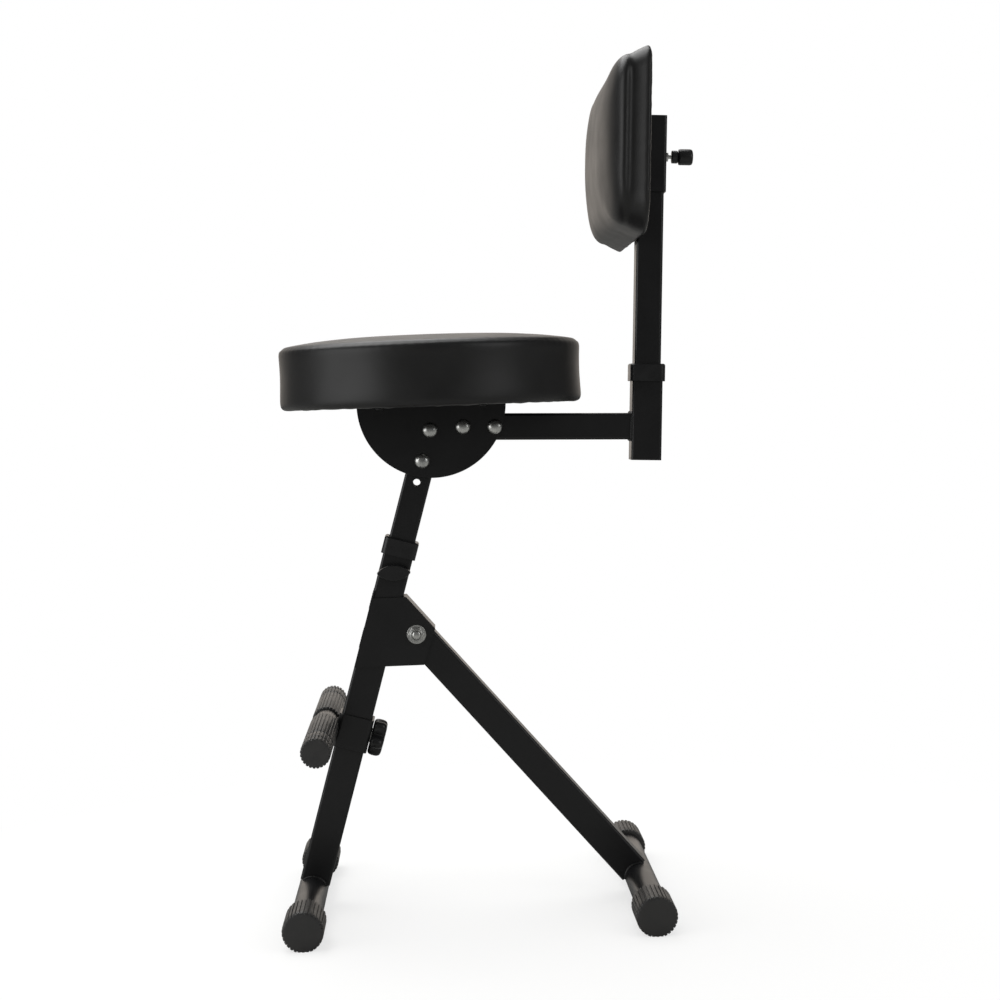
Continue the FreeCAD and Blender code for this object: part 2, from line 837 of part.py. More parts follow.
def cushion_outline(cushion, lift, inset):
    loop = new_sketch(cushion, "YZ", lift)
    draw_box(loop, f"(size.back_width - 2 * ({inset}))", f"(size.back_tall - 2 * ({inset}))",
             f"(size.back_corner - ({inset}))")
    return loop


def back_cushion():
    cushion = new_body("back_pad")
    rear = "-size.back_plate"
    seam = f"({rear} - size.back_seam)"
    band = cushion_outline(cushion, f"{rear} + size.back_roll", "0")
    pad(cushion, band, "size.back_roll + size.back_seam", reverse=True)
    rings = int(number("size.back_rings"))
    sections = [cushion_outline(cushion, seam, "size.back_tuck")]
    for index in range(rings + 1):
        turn = f"(size.back_sweep * {index} / size.back_rings * 1 deg)"
        lift = f"{seam} - size.back_swell - size.back_crown * sin({turn})"
        sections.append(cushion_outline(cushion, lift, f"size.back_spread * (1 - cos({turn}))"))
    crown = cushion.newObject("PartDesign::AdditiveLoft", "back_pad_crown")
    crown.Profile = sections[0]
    crown.Sections = sections[1:]
    crown.Ruled = True
    doc.recompute()
    bed = new_sketch(cushion, "YZ", f"{rear} - size.board_thick - size.fit_gap")
    draw_box(bed, "(size.back_board_width + 2 * size.fit_gap)", "(size.back_board_tall + 2 * size.fit_gap)",
             "size.back_board_corner")
    pocket(cushion, bed, reverse=True)
    relief = new_sketch(cushion, "YZ", rear)
    half = "(size.back_board_width / 2)"
    draw_rectangle(relief, f"-{half}", "-size.back_tall", half, "size.back_tall")
    pocket(cushion, relief, reverse=True)
    return cushion


# Footrest


def footrest():
    along = number("size.rest_along")
    clamp = new_body("footrest_clamp")
    inside = "(size.outer_side + 2 * size.clamp_gap)"
    outside = f"({inside} + 2 * size.clamp_wall)"
    section = new_sketch(clamp, "XY")
    draw_box(section, outside, outside, "(size.tube_corner + size.clamp_wall)")
    draw_square(section, inside)
    pad(clamp, section, "size.clamp_height", side="Symmetric")
    wall_hole(clamp, "YZ", "size.knob_screw + 2 * size.knob_play", "0")
    keep(clamp, Placement(on_leg(along), leg_turn))

    bar = on_leg(along, -number(f"{outside} / 2 + size.rest_tube / 2"))
    tube = round_tube("footrest_tube", "size.rest_tube", "size.rest_wall", "size.rest_length")
    keep(tube, Placement(bar, leg_turn))
    length = "(size.rest_length / 2 + size.grip_end - size.grip_start)"
    start = number("size.grip_start")
    for side, turn, hand in (("left", near_turn, -1), ("right", far_turn, 1)):
        grip = fluted_cap(f"footrest_grip_{side}", "size.grip_diameter", length, "size.rest_tube",
                          "size.grip_end", "size.grip_flutes")
        ring_grooves(grip, length)
        keep(grip, Placement(bar + Vector(0, hand * start, 0), turn))


def ring_grooves(grip, length):
    profile = new_sketch(grip, "XZ")
    rim = "size.grip_diameter / 2"
    for ratio in ("0.5", "1.5"):
        low = f"({length} - {ratio} * size.grip_segment)"
        draw_rectangle(profile, f"{rim} - size.grip_ring_depth", low, f"{rim} + size.grip_ring_depth",
                       f"{low} + size.grip_groove")
    revolve(grip, profile, kind="Groove")


# Hand knobs


def weld_nut(label):
    body = new_body(label)
    outline = new_sketch(body, "XY")
    draw_hexagon(outline, "size.weld_nut")
    draw_circle(outline, "size.knob_screw + 2 * size.knob_play")
    pad(body, outline, "size.weld_nut_height")
    return body


def knob_screw(label, length, lift):
    body = new_body(label)
    outline = new_sketch(body, "XY", lift)
    draw_circle(outline, "size.knob_screw")
    pad(body, outline, length)
    return body


def star_knob():
    body = new_body("footrest_knob")
    hub = new_sketch(body, "XY")
    draw_circle(hub, "size.star_hub")
    pad(body, hub, "size.star_thick")
    lobe = new_sketch(body, "XY")
    draw_circle(lobe, "size.star_lobe", "size.star_reach", "0")
    swell = pad(body, lobe, "size.star_thick")
    repeat_round(body, swell, lobe, "size.star_lobes")
    recess = new_sketch(body, "XY")
    draw_circle(recess, "size.knob_recess")
    pocket(body, recess, "size.weld_nut_height", reverse=True)
    return body


def oval_knob():
    body = new_body("height_knob")
    outline = new_sketch(body, "XY")
    half, rise = "(size.oval_long / 2)", "(size.oval_wide / 2)"
    bow = f"({half} ^ 2 + {rise} ^ 2) / (2 * {rise})"
    draw(outline, [(f"-{half}", "0", bow, "left"), (half, "0", bow, "left")])
    pad(body, outline, "size.oval_thick")
    return body


def screw_bore(body, depth):
    bore = new_sketch(body, "XY")
    draw_circle(bore, "size.knob_screw")
    pocket(body, bore, depth, reverse=True)


def knobs():
    nut = number("size.weld_nut_height")
    rear_face = number("size.outer_side / 2 + size.clamp_gap + size.clamp_wall")
    turn = leg_turn * behind_turn
    along = number("size.rest_along")
    keep(weld_nut("footrest_nut"), Placement(on_leg(along, rear_face), turn))
    knob_start = rear_face + number("size.knob_gap")
    knob = star_knob()
    depth = "size.weld_nut_height + size.knob_bite"
    screw_bore(knob, depth)
    keep(knob, Placement(on_leg(along, knob_start), turn))
    tip = "(size.clamp_gap + size.clamp_wall + size.knob_gap - size.slide_gap)"
    screw = knob_screw("footrest_screw", f"{tip} + {depth}", f"-{tip}")
    keep(screw, Placement(on_leg(along, knob_start), turn))

    high = number("size.height_along")
    near_face = number("size.outer_side / 2")
    turn = leg_turn * near_turn
    keep(weld_nut("height_nut"), Placement(on_leg(high, 0, -near_face), turn))
    knob_start = near_face + nut + number("size.knob_gap")
    knob = oval_knob()
    screw_bore(knob, "size.knob_bite")
    level = turn * Rotation(Vector(0, 0, 1), math.degrees(front_lean))
    keep(knob, Placement(on_leg(high, 0, -knob_start), level))
    tip = ("(size.outer_side / 2 - size.inner_side / 2 - size.slide_gap"
           " + size.weld_nut_height + size.knob_gap)")
    screw = knob_screw("height_screw", f"{tip} + size.knob_bite", f"-{tip}")
    keep(screw, Placement(on_leg(high, 0, -knob_start), turn))


def check_document():
    for item in doc.Objects:
        if "Invalid" in item.State or "Error" in item.State:
            raise RuntimeError(f"{item.Label} failed: {item.State}")
    for label, item in pieces.items():
        if item.Shape.isNull() or not item.Shape.isValid() or not item.Shape.Solids:
            raise RuntimeError(f"{label} has no valid solid")


def stand_on_origin():
    box = FreeCAD.BoundBox()
    for item in pieces.values():
        box.add(item.Shape.optimalBoundingBox(False))
    shift = Vector(-box.Center.x, -box.Center.y, -box.ZMin)
    for item in pieces.values():
        item.Placement = Placement(shift, upright) * item.Placement
    return shift


def show_axes(shift):
    along, lock = number("size.rest_along"), number("size.lock_height")
    axes = {
        "rear_leg_fold": (pivot, to_rear),
        "seat_height": (upper_bolt, leg_up),
        "back_post_height": (socket, post_up),
        "backrest_height": (socket, post_up),
        "lock_pull": (on_post(lock), post_back),
        "footrest_height": (on_leg(along), leg_up),
        "footrest_knob_turn": (on_leg(along), leg_back),
        "height_knob_turn": (on_leg(number("size.height_along")), -to_rear),
        "spare_hole": (on_leg(number("size.leg_bolt_along - size.spare_hole_drop")), -to_rear),
        "rear_floor": (rear_foot, Vector(0, 0, -1)),
        "front_floor": (foot, Vector(0, 0, -1)),
    }
    for name, (point, axis) in axes.items():
        place = point + shift
        print(f"axis {name} {place.x:.4f} {place.y:.4f} {place.z:.4f} {axis.x:.6f} {axis.y:.6f} {axis.z:.6f}")


front_leg()
floor_tubes()
foot_caps()
rear_leg()
hinge_bracket()
fold_fasteners()
inner_leg()
seat_bracket("left", -1)
seat_bracket("right", 1)
bracket_fasteners()
arm_and_socket()
seat_parts()
back_post()
back_sleeve()
pull_pin()
backrest()
footrest()
knobs()

doc.recompute()
check_document()
show_axes(stand_on_origin())
os.makedirs("parts", exist_ok=True)
for label, item in pieces.items():
    item.Shape.exportStep(f"parts/{label}.step")
print(len(pieces), "sub-parts written")
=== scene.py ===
import json
import math
import bmesh
import bpy
from mathutils import Euler, Matrix, Vector, noise


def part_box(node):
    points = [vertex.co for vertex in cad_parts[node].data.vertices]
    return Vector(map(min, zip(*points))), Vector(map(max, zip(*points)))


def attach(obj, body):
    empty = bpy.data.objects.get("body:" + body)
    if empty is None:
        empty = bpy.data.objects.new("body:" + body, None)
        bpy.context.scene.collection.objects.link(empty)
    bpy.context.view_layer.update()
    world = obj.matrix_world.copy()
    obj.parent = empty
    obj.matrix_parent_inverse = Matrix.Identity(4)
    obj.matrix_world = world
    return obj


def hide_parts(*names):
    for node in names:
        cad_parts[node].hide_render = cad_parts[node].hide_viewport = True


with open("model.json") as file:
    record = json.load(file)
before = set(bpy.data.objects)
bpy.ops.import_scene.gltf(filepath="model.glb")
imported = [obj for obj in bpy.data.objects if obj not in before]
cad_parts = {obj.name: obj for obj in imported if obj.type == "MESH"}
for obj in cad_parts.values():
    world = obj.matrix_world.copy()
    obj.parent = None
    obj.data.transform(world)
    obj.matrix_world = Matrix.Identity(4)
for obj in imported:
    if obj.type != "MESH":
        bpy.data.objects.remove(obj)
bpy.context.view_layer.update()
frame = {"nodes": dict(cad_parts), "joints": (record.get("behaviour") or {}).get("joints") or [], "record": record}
nodes = frame["nodes"]
jointOf = {joint["name"]: joint for joint in frame["joints"]}
axisOf = {name: Vector(joint["axis"]) for name, joint in jointOf.items()}
slotOf = {part["node"]: part["material_slot"] for part in frame["record"]["subparts"]}
bodyOf = {node: body for body, group in frame["record"]["behaviour"]["bodies"].items() for node in group}
millimetre = 0.001
print("frame loaded:", len(nodes), "nodes")


def hexColour(code):
    channels = [int(code[start:start + 2], 16) / 255 for start in (1, 3, 5)]
    return [c / 12.92 if c <= 0.04045 else ((c + 0.055) / 1.055) ** 2.4 for c in channels] + [1.0]


def addNode(tree, kind, inputs=None, **settings):
    node = tree.nodes.new(kind)
    for name, value in settings.items():
        setattr(node, name, value)
    for name, value in (inputs or {}).items():
        if isinstance(value, bpy.types.NodeSocket):
            tree.links.new(value, node.inputs[name])
        else:
            node.inputs[name].default_value = value
    return node


def newMaterial(name):
    material = bpy.data.materials.new(name)
    material.use_nodes = True
    tree = material.node_tree
    tree.nodes.clear()
    place = addNode(tree, "ShaderNodeTexCoord").outputs["Object"]
    return material, tree, place


def closeMaterial(tree, surface):
    shader = addNode(tree, "ShaderNodeBsdfPrincipled", surface)
    addNode(tree, "ShaderNodeOutputMaterial", {"Surface": shader.outputs["BSDF"]})


def perMillimetre(size):
    return 1 / (size * millimetre)  # texture scale for a pattern that repeats every size millimetres


def noiseNode(tree, place, size, detail, distortion=0.0):
    inputs = {"Vector": place, "Scale": perMillimetre(size), "Detail": detail, "Distortion": distortion}
    return addNode(tree, "ShaderNodeTexNoise", inputs).outputs["Fac"]


def rampNode(tree, value, low, high, spread=(0.3, 0.7)):
    ramp = addNode(tree, "ShaderNodeValToRGB", {"Fac": value})
    for element, position, tone in zip(ramp.color_ramp.elements, spread, (low, high)):
        element.position = position
        element.color = hexColour(tone) if isinstance(tone, str) else (tone, tone, tone, 1)
    return ramp.outputs["Color"]


def bumpNode(tree, height, strength, depth):
    inputs = {"Height": height, "Strength": strength, "Distance": depth * millimetre}
    return addNode(tree, "ShaderNodeBump", inputs).outputs["Normal"]


# In the finishes' plans sizes are millimetres, gloss is the least and greatest roughness, and bump is
# strength and depth
# Powder coat: polyester sprayed dry and baked on steel, a satin skin with a faint orange peel
powderPlan = {"dark": "#0c0c0d", "light": "#121213", "gloss": (0.29, 0.37), "cloud": 45, "peel": 1.6,
              "bump": (0.05, 0.2)}


def powderCoat():
    material, tree, place = newMaterial("powderCoatSatinBlack")
    cloud = noiseNode(tree, place, powderPlan["cloud"], detail=4.0)
    peel = noiseNode(tree, place, powderPlan["peel"], detail=2.0)
    closeMaterial(tree, {
        "Base Color": rampNode(tree, cloud, powderPlan["dark"], powderPlan["light"]),
        "Roughness": rampNode(tree, cloud, *powderPlan["gloss"]),
        "IOR": 1.5, "Normal": bumpNode(tree, peel, *powderPlan["bump"])})
    return material


# Zinc plate: bright electroplated steel, clear blue-white with soft cloudy gloss
zincPlan = {"dark": "#c2c3c1", "light": "#e2e2de", "gloss": (0.22, 0.34), "cloud": 6, "scratch": 0.6,
            "bump": (0.06, 0.1)}


def zincPlate():
    material, tree, place = newMaterial("zincPlateBright")
    cloud = noiseNode(tree, place, zincPlan["cloud"], detail=3.0)
    scratch = noiseNode(tree, place, zincPlan["scratch"], detail=2.0)
    closeMaterial(tree, {
        "Base Color": rampNode(tree, cloud, zincPlan["dark"], zincPlan["light"]),
        "Roughness": rampNode(tree, scratch, *zincPlan["gloss"]),
        "Metallic": 1.0, "Normal": bumpNode(tree, scratch, *zincPlan["bump"])})
    return material


# EPDM rubber: moulded, dull and dusty grey where it catches light
rubberPlan = {"dark": "#0f0f0e", "light": "#1b1917", "spread": (0.35, 0.7), "gloss": (0.42, 0.54), "dust": 9,
              "pore": 0.9, "bump": (0.15, 0.2), "shine": 1.0}


def mouldedRubber():
    material, tree, place = newMaterial("epdmRubberMoulded")
    dust = noiseNode(tree, place, rubberPlan["dust"], detail=5.0)
    pore = noiseNode(tree, place, rubberPlan["pore"], detail=3.0)
    closeMaterial(tree, {
        "Base Color": rampNode(tree, dust, rubberPlan["dark"], rubberPlan["light"], rubberPlan["spread"]),
        "Roughness": rampNode(tree, dust, *rubberPlan["gloss"]),
        "IOR": 1.52, "Specular IOR Level": rubberPlan["shine"],
        "Normal": bumpNode(tree, pore, *rubberPlan["bump"])})
    return material


# Nylon: injection moulded against a spark-eroded tool, a fine matt grain
nylonPlan = {"dark": "#0f0f10", "light": "#161617", "gloss": (0.3, 0.4), "grain": 0.9, "flow": 14,
             "bump": (0.12, 0.1)}


def mouldedNylon():
    material, tree, place = newMaterial("nylonMouldedBlack")
    grain = addNode(tree, "ShaderNodeTexVoronoi",
                    {"Vector": place, "Scale": perMillimetre(nylonPlan["grain"])})
    flow = noiseNode(tree, place, nylonPlan["flow"], detail=3.0)
    closeMaterial(tree, {
        "Base Color": rampNode(tree, flow, nylonPlan["dark"], nylonPlan["light"]),
        "Roughness": rampNode(tree, flow, *nylonPlan["gloss"]),
        "IOR": 1.53, "Normal": bumpNode(tree, grain.outputs["Distance"], *nylonPlan["bump"])})
    return material


# Plywood: rotary-cut birch stained black, long grain showing through the stain
plyPlan = {"dark": "#131110", "light": "#29231e", "spread": (0.35, 0.7), "grain": 4, "stretch": 0.06,
           "bump": (0.2, 0.2)}


def stainedPlywood():
    material, tree, place = newMaterial("birchPlywoodStained")
    along = addNode(tree, "ShaderNodeMapping", {"Vector": place, "Scale": (1, plyPlan["stretch"], 1)})
    grain = noiseNode(tree, along.outputs["Vector"], plyPlan["grain"], detail=6.0, distortion=0.6)
    closeMaterial(tree, {
        "Base Color": rampNode(tree, grain, plyPlan["dark"], plyPlan["light"], plyPlan["spread"]),
        "Roughness": 0.7, "IOR": 1.45, "Normal": bumpNode(tree, grain, *plyPlan["bump"])})
    return material


# PVC leathercloth: calendered and embossed, a smooth skin with a shallow pebble grain
# real pebbles are about half a millimetre and too fine to show, so they are drawn three times as coarse
vinylPlan = {"dark": "#101010", "light": "#161616", "gloss": (0.38, 0.46), "pebble": 1.7, "crease": 7,
             "cloud": 40, "bump": (0.05, 0.3)}


def leathercloth():
    material, tree, place = newMaterial("pvcLeathercloth")
    cloud = noiseNode(tree, place, vinylPlan["cloud"], detail=4.0)
    pebble = addNode(tree, "ShaderNodeTexVoronoi",
                     {"Vector": place, "Scale": perMillimetre(vinylPlan["pebble"])}, feature="SMOOTH_F1")
    crease = noiseNode(tree, place, vinylPlan["crease"], detail=4.0, distortion=1.2)
    height = addNode(tree, "ShaderNodeMath", {0: pebble.outputs["Distance"], 1: crease}, operation="ADD")
    closeMaterial(tree, {
        "Base Color": rampNode(tree, cloud, vinylPlan["dark"], vinylPlan["light"]),
        "Roughness": rampNode(tree, cloud, *vinylPlan["gloss"]),
        "IOR": 1.52, "Normal": bumpNode(tree, height.outputs["Value"], *vinylPlan["bump"])})
    return material


finishes = {
    "black_steel": powderCoat(),
    "zinc": zincPlate(),
    "dark_rubber": mouldedRubber(),
    "black_plastic": mouldedNylon(),
    "plywood": stainedPlywood(),
    "black_vinyl": leathercloth(),
}


def setFinish(piece, slot):
    piece.data.materials.clear()
    piece.data.materials.append(finishes[slot])


for name, node in nodes.items():
    setFinish(node, slotOf[name])
print("finishes on the frame:", len(finishes))


def bell(distance, width):
    return math.exp(-(distance / width) ** 2)


def stepUp(value, low, high):
    share = min(max((value - low) / (high - low), 0), 1)
    return share * share * (3 - 2 * share)


def middleOf(node):
    low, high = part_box(node)
    return (low + high) / 2


def circle(count):
    return [2 * math.pi * step / count for step in range(count)]


def linkPiece(name, data):
    piece = bpy.data.objects.new(name, data)
    bpy.context.scene.collection.objects.link(piece)
    return piece


def bakeModifiers(piece):
    graph = bpy.context.evaluated_depsgraph_get()
    mesh = bpy.data.meshes.new_from_object(piece.evaluated_get(graph))
    piece.modifiers.clear()
    piece.data = mesh


def shadeSmooth(piece):
    for polygon in piece.data.polygons:
        polygon.use_smooth = True


def pieceName(node):
    first, *words = node.split("_")
    return first + "".join(word.capitalize() for word in words)


def standFor(piece, node):
    setFinish(piece, slotOf[node])
    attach(piece, bodyOf[node])
    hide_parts(node)


def skinRows(mesh, rows):
    count = len(rows[0])
    for before, after in zip(rows, rows[1:]):
        for index in range(count):
            onward = (index + 1) % count
            mesh.faces.new((before[index], before[onward], after[onward], after[index]))


def shellPiece(name, rings):
    # a closed skin through rings of equal count, both ends drawn to a point
    mesh = bmesh.new()
    rows = [[mesh.verts.new(point) for point in ring] for ring in rings]
    count = len(rows[0])
    skinRows(mesh, rows)
    for row in (rows[0], rows[-1]):
        centre = mesh.verts.new(sum((vertex.co for vertex in row), Vector()) / count)
        for index in range(count):
            mesh.faces.new((row[index], row[(index + 1) % count], centre))
    bmesh.ops.recalc_face_normals(mesh, faces=mesh.faces)
    data = bpy.data.meshes.new(name)
    mesh.to_mesh(data)
    mesh.free()
    return linkPiece(name, data)


def turnedShape(mesh, place, axis, section, around, dent=None):
    # radius and height pairs turned about an axis, closed at both ends
    side = axis.orthogonal().normalized()
    other = axis.cross(side)
    rows = []
    for radius, height in section:
        row = []
        for angle in circle(around):
            drop = dent(radius, angle) if dent else 0
            spread = side * (radius * math.cos(angle)) + other * (radius * math.sin(angle))
            row.append(mesh.verts.new(place + (spread + axis * (height - drop)) * millimetre))
        rows.append(row)
    skinRows(mesh, rows)
    mesh.faces.new(list(reversed(rows[0])))
    mesh.faces.new(rows[-1])


def meshPiece(name, mesh):
    bmesh.ops.recalc_face_normals(mesh, faces=mesh.faces)
    data = bpy.data.meshes.new(name)
    mesh.to_mesh(data)
    mesh.free()
    piece = linkPiece(name, data)
    shadeSmooth(piece)
    return piece


def keepMesh(name, mesh, body, slot):
    piece = meshPiece(name, mesh)
    setFinish(piece, slot)
    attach(piece, body)


lineCuts = 16


def smoothLine(points, pitch):
    # a rounded line through the points, cut into steps of about one pitch
    dense = []
    last = len(points) - 1
    for index in range(last):
        span = [points[max(index - 1, 0)], points[index], points[index + 1], points[min(index + 2, last)]]
        for step in range(lineCuts):
            t = step / lineCuts
            dense.append([0.5 * (2 * b + (c - a) * t + (2 * a - 5 * b + 4 * c - d) * t ** 2
                                 + (3 * b - a - 3 * c + d) * t ** 3) for a, b, c, d in zip(*span)])
    dense.append(list(points[-1]))
    line, gone = [dense[0]], 0
    for before, after in zip(dense, dense[1:]):
        gone += math.dist(before, after)
        if gone >= pitch:
            line.append(after)
            gone = 0
    return line


# Cushion covers: vinyl sewn tight on foam, let out a little by the foam's pressure in a short cloth run
clothPlan = {"quality": 6, "mass": 0.2, "tension": 30, "bending": 4, "frames": 12}


def puff(piece, plan, isHeld):
    group = piece.vertex_groups.new(name="held")
    group.add([vertex.index for vertex in piece.data.vertices if isHeld(vertex.co)], 1.0, "REPLACE")
    start = [vertex.co.copy() for vertex in piece.data.vertices]
    cloth = piece.modifiers.new("puff", "CLOTH")
    cloth.settings.quality = clothPlan["quality"]
    cloth.settings.mass = clothPlan["mass"]
    cloth.settings.tension_stiffness = clothPlan["tension"]
    cloth.settings.compression_stiffness = clothPlan["tension"]
    cloth.settings.bending_stiffness = clothPlan["bending"]
    cloth.settings.use_pressure = True
    cloth.settings.uniform_pressure_force = plan["pressure"]
    cloth.settings.effector_weights.gravity = 0
    cloth.settings.vertex_group_mass = "held"
    cloth.point_cache.frame_start = 1
    cloth.point_cache.frame_end = clothPlan["frames"]
    for step in range(1, clothPlan["frames"] + 1):
        bpy.context.scene.frame_set(step)
    graph = bpy.context.evaluated_depsgraph_get()
    swollen = [vertex.co.copy() for vertex in piece.evaluated_get(graph).data.vertices]
    piece.modifiers.clear()
    bpy.context.scene.frame_set(1)
    reach = plan["cap"] * millimetre
    for vertex, before, after in zip(piece.data.vertices, start, swollen):
        move = after - before
        if move.length > reach:
            move *= reach / move.length
        vertex.co = before + move
    piece.vertex_groups.clear()


def splitFaces(piece):
    split = piece.modifiers.new("split", "SUBSURF")
    split.levels = split.render_levels = 1
    bakeModifiers(piece)


def pushVertices(piece, rule):
    mesh = piece.data
    moves = [vertex.normal * (rule(vertex.co) * millimetre) for vertex in mesh.vertices]
    for vertex, move in zip(mesh.vertices, moves):
        vertex.co += move
    mesh.update()


def finishPad(piece, node):
    shadeSmooth(piece)
    standFor(piece, node)
    print(piece.name + ":", len(piece.data.vertices), "vertices")


# Seat cushion: a boxed round pad, its band drawn tight between the top seam and the hem under the board
# each row is a radius and its height over the pad's underside
seatPlan = {"bed": [(20, 14.15), (70, 14.15), (136.15, 14.15), (136.15, 8), (136.15, 1.95), (126, 1.95),
                    (117.5, 1.95)],
            "cover": [(117, 1.1), (119, 0.5), (127, 0.2), (135, -0.3), (139.3, -0.2), (141.3, 1.6),
                      (141.9, 6), (141.6, 14), (141.0, 28), (141.2, 43), (141.7, 51), (141.4, 54.6),
                      (139.7, 57.2), (136.5, 58.8), (126, 60.3), (100, 62.4), (64, 64.2), (30, 65),
                      (8, 65.2)],
            "pitch": 4.2, "around": 208, "pressure": 1.2, "cap": 1.6, "fill": 0.85,
            "hemHeld": 4, "seamHeld": 3, "bedHeld": 1, "bare": (1.5, 2, 3),
            "seam": (139.6, 57.3), "seamDepth": 0.9, "seamWidth": 1.9,
            "wave": 0.5, "waveLength": 80, "waveRise": 70,
            "bandIn": 9, "bandFoot": (3, 14), "bandHead": (44, 56),
            "pucker": 0.1, "puckerWidth": 6, "puckers": {"count": 90, "jitter": 3, "pace": 4, "seed": 7},
            "pleat": 0.6, "pleats": {"count": 46, "jitter": 5, "pace": 3, "seed": 2},
            "pleatPatch": 5, "pleatShow": (-0.3, 0.4), "underTop": (0.5, 4), "underRim": (134, 140)}


def unevenWave(angle, plan):
    drift = noise.noise(Vector((angle * plan["pace"], 0, plan["seed"])))
    return math.sin(angle * plan["count"] + plan["jitter"] * drift)


def seatCushion():
    low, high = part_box("seat_pad")
    middle = Vector(((low.x + high.x) / 2, (low.y + high.y) / 2, low.z))
    turns = circle(seatPlan["around"])
    rings = []
    for ring, height in seatPlan["bed"] + smoothLine(seatPlan["cover"], seatPlan["pitch"]):
        rings.append([middle + Vector((ring * math.cos(turn), ring * math.sin(turn), height)) * millimetre
                      for turn in turns])
    piece = shellPiece("seatCushion", rings)
    seamRing, seamHeight = seatPlan["seam"]
    bedRing, bedHeight = seatPlan["bed"][2]

    def fromSeam(ring, height):
        return math.hypot(ring - seamRing, height - seamHeight)

    def isHeld(point):
        rel = (point - middle) / millimetre
        ring = math.hypot(rel.x, rel.y)
        inBed = ring < bedRing + seatPlan["bedHeld"] and rel.z < bedHeight + seatPlan["bedHeld"]
        return rel.z < seatPlan["hemHeld"] or fromSeam(ring, rel.z) < seatPlan["seamHeld"] or inBed

    puff(piece, seatPlan, isHeld)
    splitFaces(piece)

    def dress(point):
        rel = (point - middle) / millimetre
        ring, angle = math.hypot(rel.x, rel.y), math.atan2(rel.y, rel.x)
        bareFoot, bareRim, bareTop = seatPlan["bare"]
        if ring < bedRing + bareRim and bareFoot < rel.z < bedHeight + bareTop:
            return 0
        seam = fromSeam(ring, rel.z)
        length = seatPlan["waveLength"] / seamRing
        wave = noise.noise(Vector((math.cos(angle) / length, math.sin(angle) / length,
                                   rel.z / seatPlan["waveRise"])))
        onBand = stepUp(ring, seamRing - seatPlan["bandIn"], seamRing)
        onBand *= stepUp(rel.z, *seatPlan["bandFoot"])
        onBand *= 1 - stepUp(rel.z, *seatPlan["bandHead"])
        pucker = unevenWave(angle, seatPlan["puckers"])
        pleat = unevenWave(angle, seatPlan["pleats"])
        pleat *= stepUp(noise.noise(Vector((angle * seatPlan["pleatPatch"], 4, 1))), *seatPlan["pleatShow"])
        under = (1 - stepUp(rel.z, *seatPlan["underTop"])) * (1 - stepUp(ring, *seatPlan["underRim"]))
        return (seatPlan["wave"] * wave * onBand - seatPlan["seamDepth"] * bell(seam, seatPlan["seamWidth"])
                + seatPlan["pucker"] * pucker * bell(seam, seatPlan["puckerWidth"])
                + seatPlan["pleat"] * pleat * under)

    pushVertices(piece, dress)
    finishPad(piece, "seat_pad")


seatCushion()

# Backrest cushion: a crowned front panel sewn to a band that rolls back round the board
# each row is half width, half height and corner of the outline, and its depth behind the board's rear face
backPlan = {"bed": [(50, 8, 6, -12.15), (76, 36, 14, -12.15), (103.1, 62.1, 24, -12.15),
                    (103.1, 62.1, 24, -6), (103.1, 62.1, 24, 0.05), (92, 51, 18, 0.05),
                    (80.5, 39.5, 12, 0.05)],
            "cover": [(80, 39, 12, 0.9), (91, 50, 16, 1.0), (103, 62, 22, 1.3), (121, 70, 22, 2.5),
                      (136, 77.2, 21, 3.0), (143.2, 81.2, 20, 2.2), (145, 82, 20, -0.2),
                      (143, 80.7, 20, -3.2), (141, 79.2, 20, -6.8), (139.7, 77.8, 20, -10.2),
                      (139, 76.4, 20, -13.2), (139, 75.2, 20, -15.2), (140.8, 74.8, 21, -17.2),
                      (142.8, 74.3, 22, -19.2), (142.8, 73.4, 22, -21.2), (140.2, 71, 23, -24.4),
                      (133.6, 66.2, 24, -28.4), (121.6, 57.8, 24, -32.2), (105, 45, 20, -35.2),
                      (88, 31.4, 14, -37.4), (71, 19, 9, -38.8), (52, 9.6, 6, -39.5), (34, 4.8, 3, -39.8),
                      (18, 2.5, 2, -39.9), (8, 1.4, 1, -39.9)],
            "pitch": 4.6, "pressure": 1.6, "cap": 2.2, "fill": 0.8,
            "outline": {"longSteps": 44, "shortSteps": 22, "cornerSteps": 8, "lowCorner": 1.6},
            "rearHeld": -1, "seamHeld": 2, "bedHeld": 1, "bare": (0.5, 3),
            "seamAt": -14.2, "seamDepth": 0.35, "seamWidth": 3, "aspect": 1.7, "bandRadius": 115, "fade": 30,
            "crease": 0.5, "creaseLength": 8, "creaseFrom": (-4, 1),
            "pucker": 0.16, "puckerLength": 12, "puckerWidth": 6,
            "sag": 0.5, "sagSize": (70, 55, 60), "sagFrom": (20, 30),
            "calm": {"behind": -30, "width": 84, "inner": 0.7, "height": 9, "reach": 26}}


def roundedOutline(halfWide, halfTall, corner, plan):
    turns = [step / plan["cornerSteps"] for step in range(plan["cornerSteps"] + 1)]
    arcs = []
    for turn, (across, rise) in enumerate([(1, 1), (-1, 1), (-1, -1), (1, -1)]):
        radius = corner if rise > 0 else min(corner * plan["lowCorner"], halfTall, halfWide)
        wide, tall = across * (halfWide - radius), rise * (halfTall - radius)
        angles = [math.pi / 2 * (turn + part) for part in turns]
        arcs.append([(wide + radius * math.cos(angle), tall + radius * math.sin(angle)) for angle in angles])
    points = []
    for turn, arc in enumerate(arcs):
        points += arc[:-1]
        start, end = arc[-1], arcs[(turn + 1) % 4][0]
        steps = plan["longSteps"] if turn % 2 == 0 else plan["shortSteps"]
        for step in range(steps):
            share = step / steps
            points.append((start[0] + (end[0] - start[0]) * share, start[1] + (end[1] - start[1]) * share))
    return points


